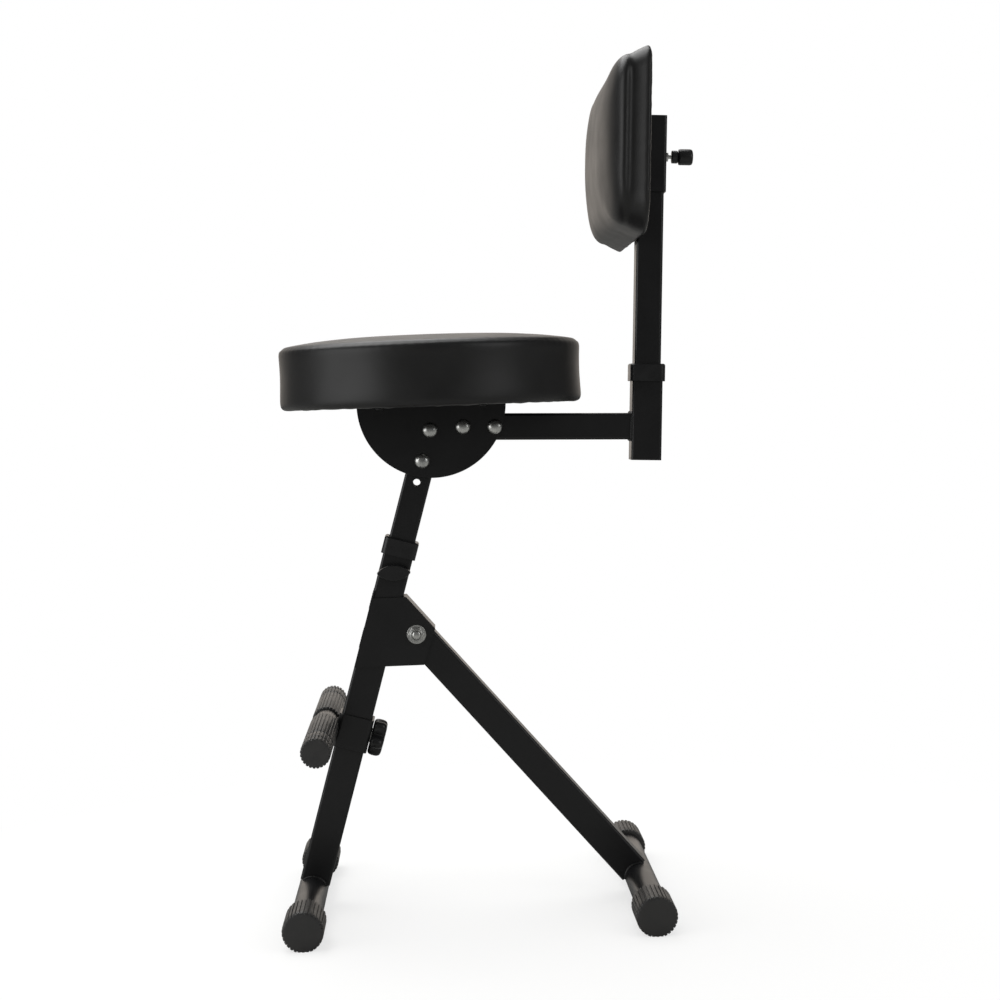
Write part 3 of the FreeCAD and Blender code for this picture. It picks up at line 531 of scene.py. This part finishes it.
def calmFront(piece, local, back):
    # the rings close along a line across the front, which is redrawn as part of one even crown
    calm = backPlan["calm"]
    weights, depths = Matrix.Diagonal((0, 0, 0)), Vector((0, 0, 0))
    front = []
    for vertex in piece.data.vertices:
        depth, side, rise = local(vertex.co)
        if depth > calm["behind"] or abs(side) > calm["width"] or abs(rise) > calm["reach"]:
            continue
        terms = Vector((1, (side / calm["width"]) ** 2, (rise / calm["reach"]) ** 2))
        front.append((vertex, depth, side, rise, terms))
        if abs(rise) > calm["height"]:
            weights += Matrix([terms * term for term in terms])
            depths += terms * depth
    crown = weights.inverted() @ depths
    for vertex, depth, side, rise, terms in front:
        alongside = 1 - stepUp(abs(side), calm["width"] * calm["inner"], calm["width"])
        share = alongside * (1 - stepUp(abs(rise), calm["height"], calm["reach"]))
        vertex.co += back * ((crown.dot(terms) - depth) * share * millimetre)


sheetThick = 2.5  # back plate and bracket flanges


def backCushion():
    back, up, across = axisOf["lock_pull"], axisOf["backrest_height"], Vector((0, 1, 0))
    origin = middleOf("back_plate") - back * (sheetThick / 2 * millimetre)
    rings = []
    rows = backPlan["bed"] + smoothLine(backPlan["cover"], backPlan["pitch"])
    for halfWide, halfTall, corner, depth in rows:
        ring = []
        for side, rise in roundedOutline(halfWide, halfTall, corner, backPlan["outline"]):
            ring.append(origin + (back * depth + across * side + up * rise) * millimetre)
        rings.append(ring)
    piece = shellPiece("backCushion", rings)
    bedRow = backPlan["bed"][2]
    bedWide, bedTall, bedDepth = bedRow[0], bedRow[1], bedRow[3]

    def local(point):
        rel = (point - origin) / millimetre
        return rel.dot(back), rel.y, rel.dot(up)

    def inBed(depth, side, rise, spare):
        return abs(side) < bedWide + spare and abs(rise) < bedTall + spare and depth > bedDepth - spare

    def isHeld(point):
        depth, side, rise = local(point)
        atSeam = abs(depth - backPlan["seamAt"]) < backPlan["seamHeld"]
        return depth > backPlan["rearHeld"] or atSeam or inBed(depth, side, rise, backPlan["bedHeld"])

    puff(piece, backPlan, isHeld)
    calmFront(piece, local, back)
    splitFaces(piece)

    def dress(point):
        depth, side, rise = local(point)
        bareDepth, bareSpare = backPlan["bare"]
        if depth < bareDepth and inBed(depth, side, rise, bareSpare):
            return 0
        seam = depth - backPlan["seamAt"]
        # distance along the band
        around = math.atan2(rise * backPlan["aspect"], side) * backPlan["bandRadius"]
        crease = noise.noise(Vector((around / backPlan["creaseLength"], depth / backPlan["fade"], 3)))
        pucker = noise.noise(Vector((around / backPlan["puckerLength"], 1, depth / backPlan["fade"])))
        sagSpot = [reach / size for reach, size in zip((side, rise, depth), backPlan["sagSize"])]
        sag = noise.noise(Vector(sagSpot))
        return (backPlan["crease"] * crease * stepUp(depth, *backPlan["creaseFrom"])
                - backPlan["seamDepth"] * bell(seam, backPlan["seamWidth"])
                + backPlan["pucker"] * pucker * bell(seam, backPlan["puckerWidth"])
                + backPlan["sag"] * sag * stepUp(-depth, *backPlan["sagFrom"]))

    pushVertices(piece, dress)
    finishPad(piece, "back_pad")


backCushion()

# Carriage bolt heads: smooth forged domes drawn down on the near bracket
domePlan = {"radius": 7.1, "height": 4.8, "rim": 0.25, "fullness": 2.6, "inset": 7, "seat": 4, "around": 40,
            "shares": [1, 0.992, 0.96, 0.9, 0.8, 0.65, 0.45, 0.22, 0.06]}


def boltDomes():
    mesh = bmesh.new()
    section = [(domePlan["radius"], 0)]
    for share in domePlan["shares"]:
        rise = domePlan["height"] * math.sqrt(max(1 - share ** domePlan["fullness"], 0))
        section.append((domePlan["radius"] * share, domePlan["rim"] + rise))
    inset = domePlan["inset"] * millimetre
    for name, isRising in (("leg_bolts", True), ("arm_bolts", False)):
        low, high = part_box(name)
        heights = [low.z + inset, high.z - inset] if isRising else [high.z - inset, low.z + inset]
        for x, z in zip((low.x + inset, high.x - inset), heights):
            spot = Vector((x, low.y + domePlan["seat"] * millimetre, z))
            turnedShape(mesh, spot, Vector((0, -1, 0)), section, domePlan["around"])
    keepMesh("boltDomes", mesh, "seat_frame", "zinc")


boltDomes()

# Pivot nut: the raised collar of a lock nut, and the domed tip of the bolt in it
nutPlan = {"around": 48,
           "collar": [(6.1, -0.2), (6.0, 0.3), (5.6, 0.7), (5.0, 0.8), (4.6, 0.6), (4.4, 0.1), (4.3, -0.2)],
           "tip": [(3.9, -0.2), (3.9, 0.3), (3.5, 0.8), (2.6, 1.15), (1.4, 1.3), (0.3, 1.35)]}


def pivotNut():
    mesh = bmesh.new()
    middle = middleOf("fold_nut")
    for node, form in (("fold_nut", "collar"), ("fold_bolt", "tip")):
        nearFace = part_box(node)[0].y
        turnedShape(mesh, Vector((middle.x, nearFace, middle.z)), Vector((0, -1, 0)), nutPlan[form],
                    nutPlan["around"])
    keepMesh("pivotNutFace", mesh, "front_frame", "zinc")


pivotNut()

# Wood screws: cross-recessed pan heads, four under the seat brackets and four behind the back plate
screwPlan = {"section": [(4.2, 0), (4.2, 0.5), (4.0, 1.2), (3.5, 1.8), (2.7, 2.2), (2.2, 2.3), (1.2, 2.35),
                         (0.3, 2.4)],
             "around": 32, "recess": 1.3, "recessRadius": 2.4, "recessCore": 0.5, "armShare": 0.5,
             "seatSpread": 48, "flangeIn": 10.75, "plateSpread": 23}


def crossRecess(radius, angle):
    isArm = radius < screwPlan["recessRadius"] and abs(math.sin(2 * angle)) < screwPlan["armShare"]
    return screwPlan["recess"] if isArm or radius < screwPlan["recessCore"] else 0


def woodScrews():
    seatMesh = bmesh.new()
    for name, hand in (("seat_bracket_left", -1), ("seat_bracket_right", 1)):
        low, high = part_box(name)
        flangeEdge = low.y if hand < 0 else high.y
        for side in (-1, 1):
            spot = Vector(((low.x + high.x) / 2 + side * screwPlan["seatSpread"] * millimetre,
                           flangeEdge - hand * screwPlan["flangeIn"] * millimetre,
                           high.z - sheetThick * millimetre))
            turnedShape(seatMesh, spot, Vector((0, 0, -1)), screwPlan["section"], screwPlan["around"],
                        crossRecess)
    keepMesh("seatScrews", seatMesh, "seat_frame", "black_steel")

    plateMesh = bmesh.new()
    back, up = axisOf["lock_pull"], axisOf["backrest_height"]
    for side in (-1, 1):
        for rise in (-1, 1):
            reach = back * (sheetThick / 2) + up * (rise * screwPlan["plateSpread"])
            reach += Vector((0, side * screwPlan["plateSpread"], 0))
            turnedShape(plateMesh, middleOf("back_plate") + reach * millimetre, back, screwPlan["section"],
                        screwPlan["around"], crossRecess)
    keepMesh("backScrews", plateMesh, "backrest", "zinc")


woodScrews()

# Weld beads: rippled runs of filler under the paint, where the tubes and sheet pieces are joined
weldPlan = {"pitch": 0.9, "ripple": 2.4, "rippleDepth": 0.14, "around": 8, "endShare": 0.45,
            "legFoot": 9, "tubeRadius": 14, "footSide": 14.3, "footSteps": 6, "footBead": 1.7,
            "cheekRuns": [(-26, -8), (12, 30)], "cheekOut": 13.6, "cheekSide": 14.7, "cheekBead": 1.1,
            "armHalf": 12.5, "armCorner": 2.6, "armBead": 1.7, "endFace": 0.1,
            "armOutline": {"cornerSteps": 4, "longSteps": 10, "shortSteps": 10, "lowCorner": 1},
            "sleeveRuns": [(-27, -9), (9, 27)], "sleeveOut": 0.7, "sleeveSide": 13.5, "sleeveBead": 1.6,
            "barRises": [-5, 5], "barOut": 1.2, "barHalf": 14, "barBead": 1.9}


def evenPoints(points, pitch):
    line, left = [points[0]], 0
    for before, after in zip(points, points[1:]):
        span = (after - before).length
        at = pitch - left
        while at <= span:
            line.append(before.lerp(after, at / span))
            at += pitch
        left = span - (at - pitch)
    return line


def weldRings(line, radius, isLoop):
    rings = []
    for index, point in enumerate(line):
        before = line[index - 1] if index or isLoop else point
        after = line[(index + 1) % len(line)] if index + 1 < len(line) or isLoop else point
        along = (after - before).normalized()
        side = along.orthogonal().normalized()
        other = along.cross(side)
        phase = 2 * math.pi * index * weldPlan["pitch"] / weldPlan["ripple"]
        isEnd = not isLoop and index in (0, len(line) - 1)
        thick = radius * (weldPlan["endShare"] if isEnd else 1)
        thick *= (1 + weldPlan["rippleDepth"] * math.sin(phase)) * millimetre
        ring = [point + (side * math.cos(turn) + other * math.sin(turn)) * thick
                for turn in circle(weldPlan["around"])]
        if rings:
            # each ring is turned to follow the one before, so that the bead doesn't twist
            start = rings[-1][0]
            best = min(range(len(ring)), key=lambda shift: (ring[shift] - start).length)
            ring = ring[best:] + ring[:best]
        rings.append(ring)
    return rings


def weldBead(mesh, points, radius, isLoop):
    pitch = weldPlan["pitch"] * millimetre
    line = evenPoints(points + points[:1] if isLoop else points, pitch)
    if isLoop and (line[-1] - line[0]).length < pitch / 2:
        line.pop()
    rows = [[mesh.verts.new(point) for point in ring] for ring in weldRings(line, radius, isLoop)]
    if isLoop:
        first, last = rows[0], rows[-1]
        shift = min(range(len(first)), key=lambda step: (first[step].co - last[0].co).length)
        skinRows(mesh, rows)
        skinRows(mesh, [last, first[shift:] + first[:shift]])
    else:
        skinRows(mesh, rows)
        mesh.faces.new(list(reversed(rows[0])))
        mesh.faces.new(rows[-1])


def footLoop(centre, up):
    # the saddle line where a square leg stands on its round floor tube
    across = Vector((up.z, 0, -up.x))
    radius, steps = weldPlan["tubeRadius"], weldPlan["footSteps"]
    half = math.acos(weldPlan["legFoot"] / radius)
    points = []
    for hand in (-1, 1):
        for step in range(-steps, steps + 1):
            angle = half * step / steps * -hand
            reach = (up * math.cos(angle) + across * math.sin(angle)) * radius
            points.append(centre + (reach + Vector((0, hand * weldPlan["footSide"], 0))) * millimetre)
    return points


def keepWelds(name, body, runs):
    mesh = bmesh.new()
    for points, radius, isLoop in runs:
        weldBead(mesh, points, radius, isLoop)
    keepMesh(name, mesh, body, "black_steel")


def straightWelds(centre, out, up, side, spans, bead):
    runs = []
    for hand in (-1, 1):
        for span in spans:
            ends = [centre + (out + up * rise + Vector((0, hand * side, 0))) * millimetre for rise in span]
            runs.append((ends, bead, False))
    return runs


def frameWelds():
    legUp = axisOf["seat_height"]
    legFront = Vector((-legUp.z, 0, legUp.x))
    pivot = Vector(jointOf["rear_leg_fold"]["pos_m"])
    frontFoot, rearFoot = middleOf("front_cross_tube"), middleOf("rear_cross_tube")
    onLeg = frontFoot + legUp * (pivot - frontFoot).dot(legUp)
    cheeks = straightWelds(onLeg, legFront * weldPlan["cheekOut"], legUp, weldPlan["cheekSide"],
                           weldPlan["cheekRuns"], weldPlan["cheekBead"])
    frontSaddle = (footLoop(frontFoot, legUp), weldPlan["footBead"], True)
    keepWelds("frontWelds", "front_frame", [frontSaddle] + cheeks)
    rearUp = (pivot - rearFoot).normalized()
    keepWelds("rearWelds", "rear_frame", [(footLoop(rearFoot, rearUp), weldPlan["footBead"], True)])


def armWeld():
    postUp = axisOf["back_post_height"]
    rearward = Vector((postUp.z, 0, -postUp.x))
    points = [vertex.co for vertex in nodes["arm_tube"].data.vertices]
    reach = max(point.dot(rearward) for point in points)
    endFace = reach - weldPlan["endFace"] * millimetre
    rises = [point.dot(postUp) for point in points if point.dot(rearward) > endFace]
    middle, half = (max(rises) + min(rises)) / 2, (max(rises) - min(rises)) / 2 / millimetre
    outline = roundedOutline(weldPlan["armHalf"], half, weldPlan["armCorner"], weldPlan["armOutline"])
    ring = []
    for side, rise in outline:
        onFace = rearward * reach + postUp * (middle + rise * millimetre)
        ring.append(onFace + Vector((0, side * millimetre, 0)))
    keepWelds("armWeld", "seat_frame", [(ring, weldPlan["armBead"], True)])


def sleeveWelds():
    back, up = axisOf["lock_pull"], axisOf["backrest_height"]
    plate = middleOf("back_plate") + back * (sheetThick / 2 * millimetre)
    keepWelds("sleeveWelds", "backrest", straightWelds(plate, back * weldPlan["sleeveOut"], up,
                                                       weldPlan["sleeveSide"], weldPlan["sleeveRuns"],
                                                       weldPlan["sleeveBead"]))


def footrestWelds():
    legUp = axisOf["footrest_height"]
    legFront = Vector((-legUp.z, 0, legUp.x))
    low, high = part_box("footrest_tube")
    clampFace = (low + high) / 2 - legFront * (high.x - low.x) / 2
    runs = []
    for rise in weldPlan["barRises"]:
        out = legFront * weldPlan["barOut"] + legUp * rise
        ends = [clampFace + (out + Vector((0, side, 0))) * millimetre
                for side in (-weldPlan["barHalf"], weldPlan["barHalf"])]
        runs.append((ends, weldPlan["barBead"], False))
    keepWelds("footrestWelds", "footrest", runs)


frameWelds()
armWeld()
sleeveWelds()
footrestWelds()
print("fasteners and welds made")

# Foot caps and footrest grips: moulded rubber with many narrow flutes, the caps flat underneath
# each section row is a radius and its distance from the open end
flutePlan = {"from": (0.35, 0.9), "faceBand": 1, "sharpFrom": 50}
capPlan = {"flutes": 30, "steps": 10, "fluteDepth": 1.1, "faceFrom": 15.5,
           "section": [(14.05, 0), (17.4, 0), (18.3, 0.5), (18.5, 1.4), (18.5, 12), (18.5, 24), (18.5, 36),
                       (18.5, 45.6), (18.2, 47), (17.3, 47.9), (15.4, 48), (8, 48), (1, 48)]}
gripPlan = {"flutes": 24, "steps": 12, "fluteDepth": 1.0, "faceFrom": 11.6, "bore": 11.05, "radius": 13.5,
            "length": 142.8, "rings": [40, 13], "ringDepth": 1.8, "ringWidth": 2, "ringFlank": (0.5, 1.2),
            "ringSteps": [-1.6, -1, -0.6, 0, 0.6, 1, 1.6], "openEnd": [(0.8, 0), (0.2, 0.3), (0, 1)],
            "closedEnd": [(0, 1.4), (0.3, 0.5), (1.1, 0)], "face": [11.2, 6, 1]}


def gripSection():
    length, radius = gripPlan["length"], gripPlan["radius"]
    section = [(gripPlan["bore"], 0)] + [(radius - inset, along) for inset, along in gripPlan["openEnd"]]
    for spot in gripPlan["rings"]:
        for step in gripPlan["ringSteps"]:
            dip = gripPlan["ringDepth"] * (1 - stepUp(abs(step), *gripPlan["ringFlank"]))
            section.append((radius - dip, length - spot + step * gripPlan["ringWidth"]))
    section += [(radius - inset, length - short) for inset, short in gripPlan["closedEnd"]]
    return section + [(ring, length) for ring in gripPlan["face"]]


def flutedRubber(node, tube, plan, section, side, floor=None):
    low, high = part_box(node)
    middle = middleOf(tube)
    centre = Vector((middle.x, high.y if side < 0 else low.y, middle.z))
    axis, front = Vector((0, side, 0)), Vector((1, 0, 0))
    up = axis.cross(front)
    rings = []
    for radius, along in section:
        onRim = stepUp(radius, plan["faceFrom"], plan["faceFrom"] + flutePlan["faceBand"])
        ring = []
        for angle in circle(plan["flutes"] * plan["steps"]):
            flute = plan["fluteDepth"] * stepUp(math.cos(plan["flutes"] * angle), *flutePlan["from"])
            spread = (front * math.cos(angle) + up * math.sin(angle)) * (radius - flute * onRim)
            point = centre + (axis * along + spread) * millimetre
            if floor is not None:
                point.z = max(point.z, floor)
            ring.append(point)
        rings.append(ring)
    piece = shellPiece(pieceName(node), rings)
    shadeSmooth(piece)
    piece.data.set_sharp_from_angle(angle=math.radians(flutePlan["sharpFrom"]))
    standFor(piece, node)


def rubberFittings():
    for leg in ("front", "rear"):
        for hand, side in (("left", -1), ("right", 1)):
            node = f"{leg}_foot_cap_{hand}"
            flutedRubber(node, f"{leg}_cross_tube", capPlan, capPlan["section"], side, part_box(node)[0].z)
    for hand, side in (("left", -1), ("right", 1)):
        flutedRubber(f"footrest_grip_{hand}", "footrest_tube", gripPlan, gripSection(), side)


rubberFittings()
print("rubber fittings made")

# Star knob: five soft lobes with thumb hollows between them, each section row an inset and its height
starPlan = {"lobes": 5, "waist": 11.2, "reach": 18.4, "steps": 24, "fullness": 0.65, "height": 13.4,
            "section": [(10, 0.6), (6.5, 0.2), (3.2, 0), (1.4, 0.8), (0.4, 2.4), (0, 4.6), (0, 8.2),
                        (0.4, 10.4), (1.5, 12.2), (3.4, 13.1), (6.5, 13.4), (10, 13.2)]}


def axisReach(node, axis):
    reaches = [vertex.co.dot(axis) for vertex in nodes[node].data.vertices]
    return min(reaches), max(reaches)


def starKnob():
    axis, centre = axisOf["footrest_knob_turn"], Vector(jointOf["footrest_knob_turn"]["pos_m"])
    low, high = axisReach("footrest_knob", axis)
    base = centre + axis * (low - centre.dot(axis))
    spreads = [vertex.co - centre for vertex in nodes["footrest_knob"].data.vertices]
    side = max((spread - axis * spread.dot(axis) for spread in spreads), key=lambda spread: spread.length)
    side.normalize()
    other = axis.cross(side)
    stretch = (high - low) / millimetre / starPlan["height"]
    waist, reach = starPlan["waist"], starPlan["reach"]
    rings = []
    for inset, along in starPlan["section"]:
        ring = []
        for angle in circle(starPlan["lobes"] * starPlan["steps"]):
            lobe = (0.5 + 0.5 * math.cos(starPlan["lobes"] * angle)) ** starPlan["fullness"]
            radius = (waist + (reach - waist) * lobe) * (1 - inset / reach)
            spread = (side * math.cos(angle) + other * math.sin(angle)) * radius
            ring.append(base + (spread + axis * (along * stretch)) * millimetre)
        rings.append(ring)
    piece = shellPiece("starKnob", rings)
    shadeSmooth(piece)
    standFor(piece, "footrest_knob")


starKnob()

# Lock knob: a turned pull with a neck ring behind it
pullPlan = {"around": 48, "length": 20.6, "sharpFrom": 45,
            "section": [(2.1, 0), (5.5, 0), (6, 0.5), (6, 5.2), (5.4, 5.7), (5.2, 6.1), (5.4, 6.5),
                        (6.9, 6.8), (7.4, 7.4), (7.5, 8.4), (7.5, 17.6), (7.3, 19), (6.6, 20), (5.2, 20.5),
                        (3, 20.6), (0.6, 20.6)]}


def lockPull():
    axis = axisOf["lock_pull"]
    low, high = axisReach("lock_knob", axis)
    middle = middleOf("lock_knob")
    base = middle + axis * (low - middle.dot(axis))
    stretch = (high - low) / millimetre / pullPlan["length"]
    mesh = bmesh.new()
    section = [(radius, along * stretch) for radius, along in pullPlan["section"]]
    turnedShape(mesh, base, axis, section, pullPlan["around"])
    piece = meshPiece("lockPull", mesh)
    piece.data.set_sharp_from_angle(angle=math.radians(pullPlan["sharpFrom"]))
    standFor(piece, "lock_knob")


lockPull()
print("knobs made")

# Pressed and moulded pieces get the small edge radius that catches the light
edgePlan = {"seat_bracket_left": 0.45, "seat_bracket_right": 0.45, "hinge_bracket": 0.35,
            "leg_collar": 0.6, "post_collar": 0.6, "back_plate": 0.4, "footrest_clamp": 0.4,
            "height_knob": 1.8, "fold_nut": 0.4, "fold_bolt": 0.4, "socket_plug": 0.7, "post_plug": 0.7}
roundPlan = {"segments": 2, "sharpFrom": 38, "flatWithin": 0.4, "merge": 0.001, "evenWeight": 100}
# Outside corners of the folded sheet, where the cheeks turn into the web behind the rear leg
bendPlan = {"node": "hinge_bracket", "radius": 2.4, "segments": 5, "webOut": Vector((0.764, 0, 0.646)),
            "cheekFrom": 0.99, "webFrom": 0.98, "acrossTo": 0.1}


def isBend(edge):
    if len(edge.link_faces) != 2:
        return False
    cheek, web = sorted((face.normal for face in edge.link_faces), key=lambda normal: -abs(normal.y))
    isOutside = abs(cheek.y) > bendPlan["cheekFrom"] and web.dot(bendPlan["webOut"]) > bendPlan["webFrom"]
    along = (edge.verts[0].co - edge.verts[1].co).normalized()
    return isOutside and abs(along.y) < bendPlan["acrossTo"]


def softEdges(name, width):
    piece = linkPiece(pieceName(name) + "Finished", nodes[name].data.copy())
    mesh = bmesh.new()
    mesh.from_mesh(piece.data)
    bmesh.ops.remove_doubles(mesh, verts=mesh.verts, dist=roundPlan["merge"] * millimetre)
    bmesh.ops.dissolve_limit(mesh, angle_limit=math.radians(roundPlan["flatWithin"]), verts=mesh.verts,
                             edges=mesh.edges)
    if name == bendPlan["node"]:
        bmesh.ops.bevel(mesh, geom=[edge for edge in mesh.edges if isBend(edge)],
                        offset=bendPlan["radius"] * millimetre, segments=bendPlan["segments"], profile=0.5,
                        affect="EDGES", clamp_overlap=True)
    mesh.to_mesh(piece.data)
    mesh.free()
    shadeSmooth(piece)
    bevel = piece.modifiers.new("round", "BEVEL")
    bevel.width = width * millimetre
    bevel.segments = roundPlan["segments"]
    bevel.limit_method = "ANGLE"
    bevel.angle_limit = math.radians(roundPlan["sharpFrom"])
    even = piece.modifiers.new("even", "WEIGHTED_NORMAL")
    even.weight = roundPlan["evenWeight"]
    bakeModifiers(piece)
    standFor(piece, name)


for name, width in edgePlan.items():
    softEdges(name, width)
print("edges softened:", len(edgePlan))

# Studio: pale floor, white surround, broad soft lamps to the left, above and to the right, sizes in metres
floorPlan = {"size": 14, "bounce": "#8f8f8d", "seen": "#f2f2f0", "fadeFrom": 0.25, "fadeTo": 0.7,
             "glowNear": 0.68}
roomPlan = {"dark": 0.1, "bright": "#fff5ea", "spread": (0.86, 0.985), "ambient": 0.75}
lampPlan = [
    {"name": "leftSoftbox", "place": (-2.0, -1.0, 0.9), "size": (2.0, 1.5), "power": 15},
    {"name": "rightSoftbox", "place": (1.7, -1.5, 1.3), "size": (1.0, 1.4), "power": 6.5},
    {"name": "topSoftbox", "place": (-0.5, 0.7, 2.2), "size": (2.0, 1.6), "power": 32},
]
lampAim = Vector((0, 0, 0.4))
# Camera at the photograph's viewing angle, in millimetres and degrees
cameraPlan = {"place": (-50.9, -1880, 479.4), "turn": (87.019, 2.044, -1.903), "focal": 71.46, "sensor": 36}


def studioFloor():
    bpy.ops.mesh.primitive_plane_add(size=floorPlan["size"], location=(0, 0, 0))
    floor = bpy.context.object
    floor.name = "studioFloor"
    material = bpy.data.materials.new("floorPaper")
    material.use_nodes = True
    tree = material.node_tree
    tree.nodes.clear()
    seen = addNode(tree, "ShaderNodeLightPath").outputs["Is Camera Ray"]
    # the paper bounces less light on the legs than the camera sees on it
    tone = addNode(tree, "ShaderNodeMixRGB", {"Fac": seen, "Color1": hexColour(floorPlan["bounce"]),
                                              "Color2": hexColour(floorPlan["seen"])})
    paper = addNode(tree, "ShaderNodeBsdfDiffuse", {"Color": tone.outputs["Color"]})
    glow = addNode(tree, "ShaderNodeEmission", {"Color": hexColour("#ffffff"), "Strength": 1.0})
    # near the stool the paper keeps some of its shadow, further off it fades into the white surround
    place = addNode(tree, "ShaderNodeNewGeometry").outputs["Position"]
    away = addNode(tree, "ShaderNodeVectorMath", {0: place}, operation="LENGTH")
    fade = addNode(tree, "ShaderNodeMapRange", {
        "Value": away.outputs["Value"], "From Min": floorPlan["fadeFrom"], "From Max": floorPlan["fadeTo"],
        "To Min": floorPlan["glowNear"], "To Max": 1.0})
    share = addNode(tree, "ShaderNodeMath", {0: seen, 1: fade.outputs["Result"]}, operation="MULTIPLY")
    mixed = addNode(tree, "ShaderNodeMixShader",
                    {0: share.outputs["Value"], 1: paper.outputs["BSDF"], 2: glow.outputs["Emission"]})
    addNode(tree, "ShaderNodeOutputMaterial", {"Surface": mixed.outputs["Shader"]})
    floor.data.materials.append(material)


def backgroundNode(tree, colour, strength):
    inputs = {"Color": colour, "Strength": strength}
    return addNode(tree, "ShaderNodeBackground", inputs).outputs["Background"]


def studioWorld():
    world = bpy.data.worlds.new("studioWorld")
    bpy.context.scene.world = world
    world.use_nodes = True
    tree = world.node_tree
    tree.nodes.clear()
    path = addNode(tree, "ShaderNodeLightPath")
    direct = addNode(tree, "ShaderNodeMath",
                     {0: path.outputs["Is Camera Ray"], 1: path.outputs["Is Transmission Ray"]},
                     operation="MAXIMUM")
    # the room behind the camera is darker than the white paper behind the stool
    facing = addNode(tree, "ShaderNodeTexCoord").outputs["Generated"]
    parts = addNode(tree, "ShaderNodeSeparateXYZ", {"Vector": facing})
    ahead = addNode(tree, "ShaderNodeMapRange", {
        "Value": parts.outputs["Y"], "From Min": -1.0, "From Max": 1.0}).outputs["Result"]
    room = rampNode(tree, ahead, roomPlan["dark"], roomPlan["bright"], roomPlan["spread"])
    white = hexColour("#ffffff")
    lit = addNode(tree, "ShaderNodeMixShader", {
        0: path.outputs["Is Glossy Ray"], 1: backgroundNode(tree, white, roomPlan["ambient"]),
        2: backgroundNode(tree, room, 1.0)})
    shown = addNode(tree, "ShaderNodeMixShader", {
        0: direct.outputs["Value"], 1: lit.outputs["Shader"], 2: backgroundNode(tree, white, 1.0)})
    addNode(tree, "ShaderNodeOutputWorld", {"Surface": shown.outputs["Shader"]})


def studioLamps():
    for plan in lampPlan:
        lamp = bpy.data.lights.new(plan["name"], "AREA")
        lamp.shape = "RECTANGLE"
        lamp.size, lamp.size_y = plan["size"]
        lamp.energy = plan["power"]
        holder = linkPiece(plan["name"], lamp)
        holder.location = plan["place"]
        holder.rotation_mode = "QUATERNION"
        holder.rotation_quaternion = (lampAim - Vector(plan["place"])).to_track_quat("-Z", "Y")


def studioCamera():
    lens = bpy.data.cameras.new("productCamera")
    lens.sensor_width = cameraPlan["sensor"]
    lens.lens = cameraPlan["focal"]
    camera = linkPiece("productCamera", lens)
    camera.location = Vector(cameraPlan["place"]) * millimetre
    camera.rotation_euler = Euler([math.radians(turn) for turn in cameraPlan["turn"]], "XYZ")
    bpy.context.scene.camera = camera


studioFloor()
studioWorld()
studioLamps()
studioCamera()
bpy.context.scene.view_settings.view_transform = "Standard"
print("studio set")
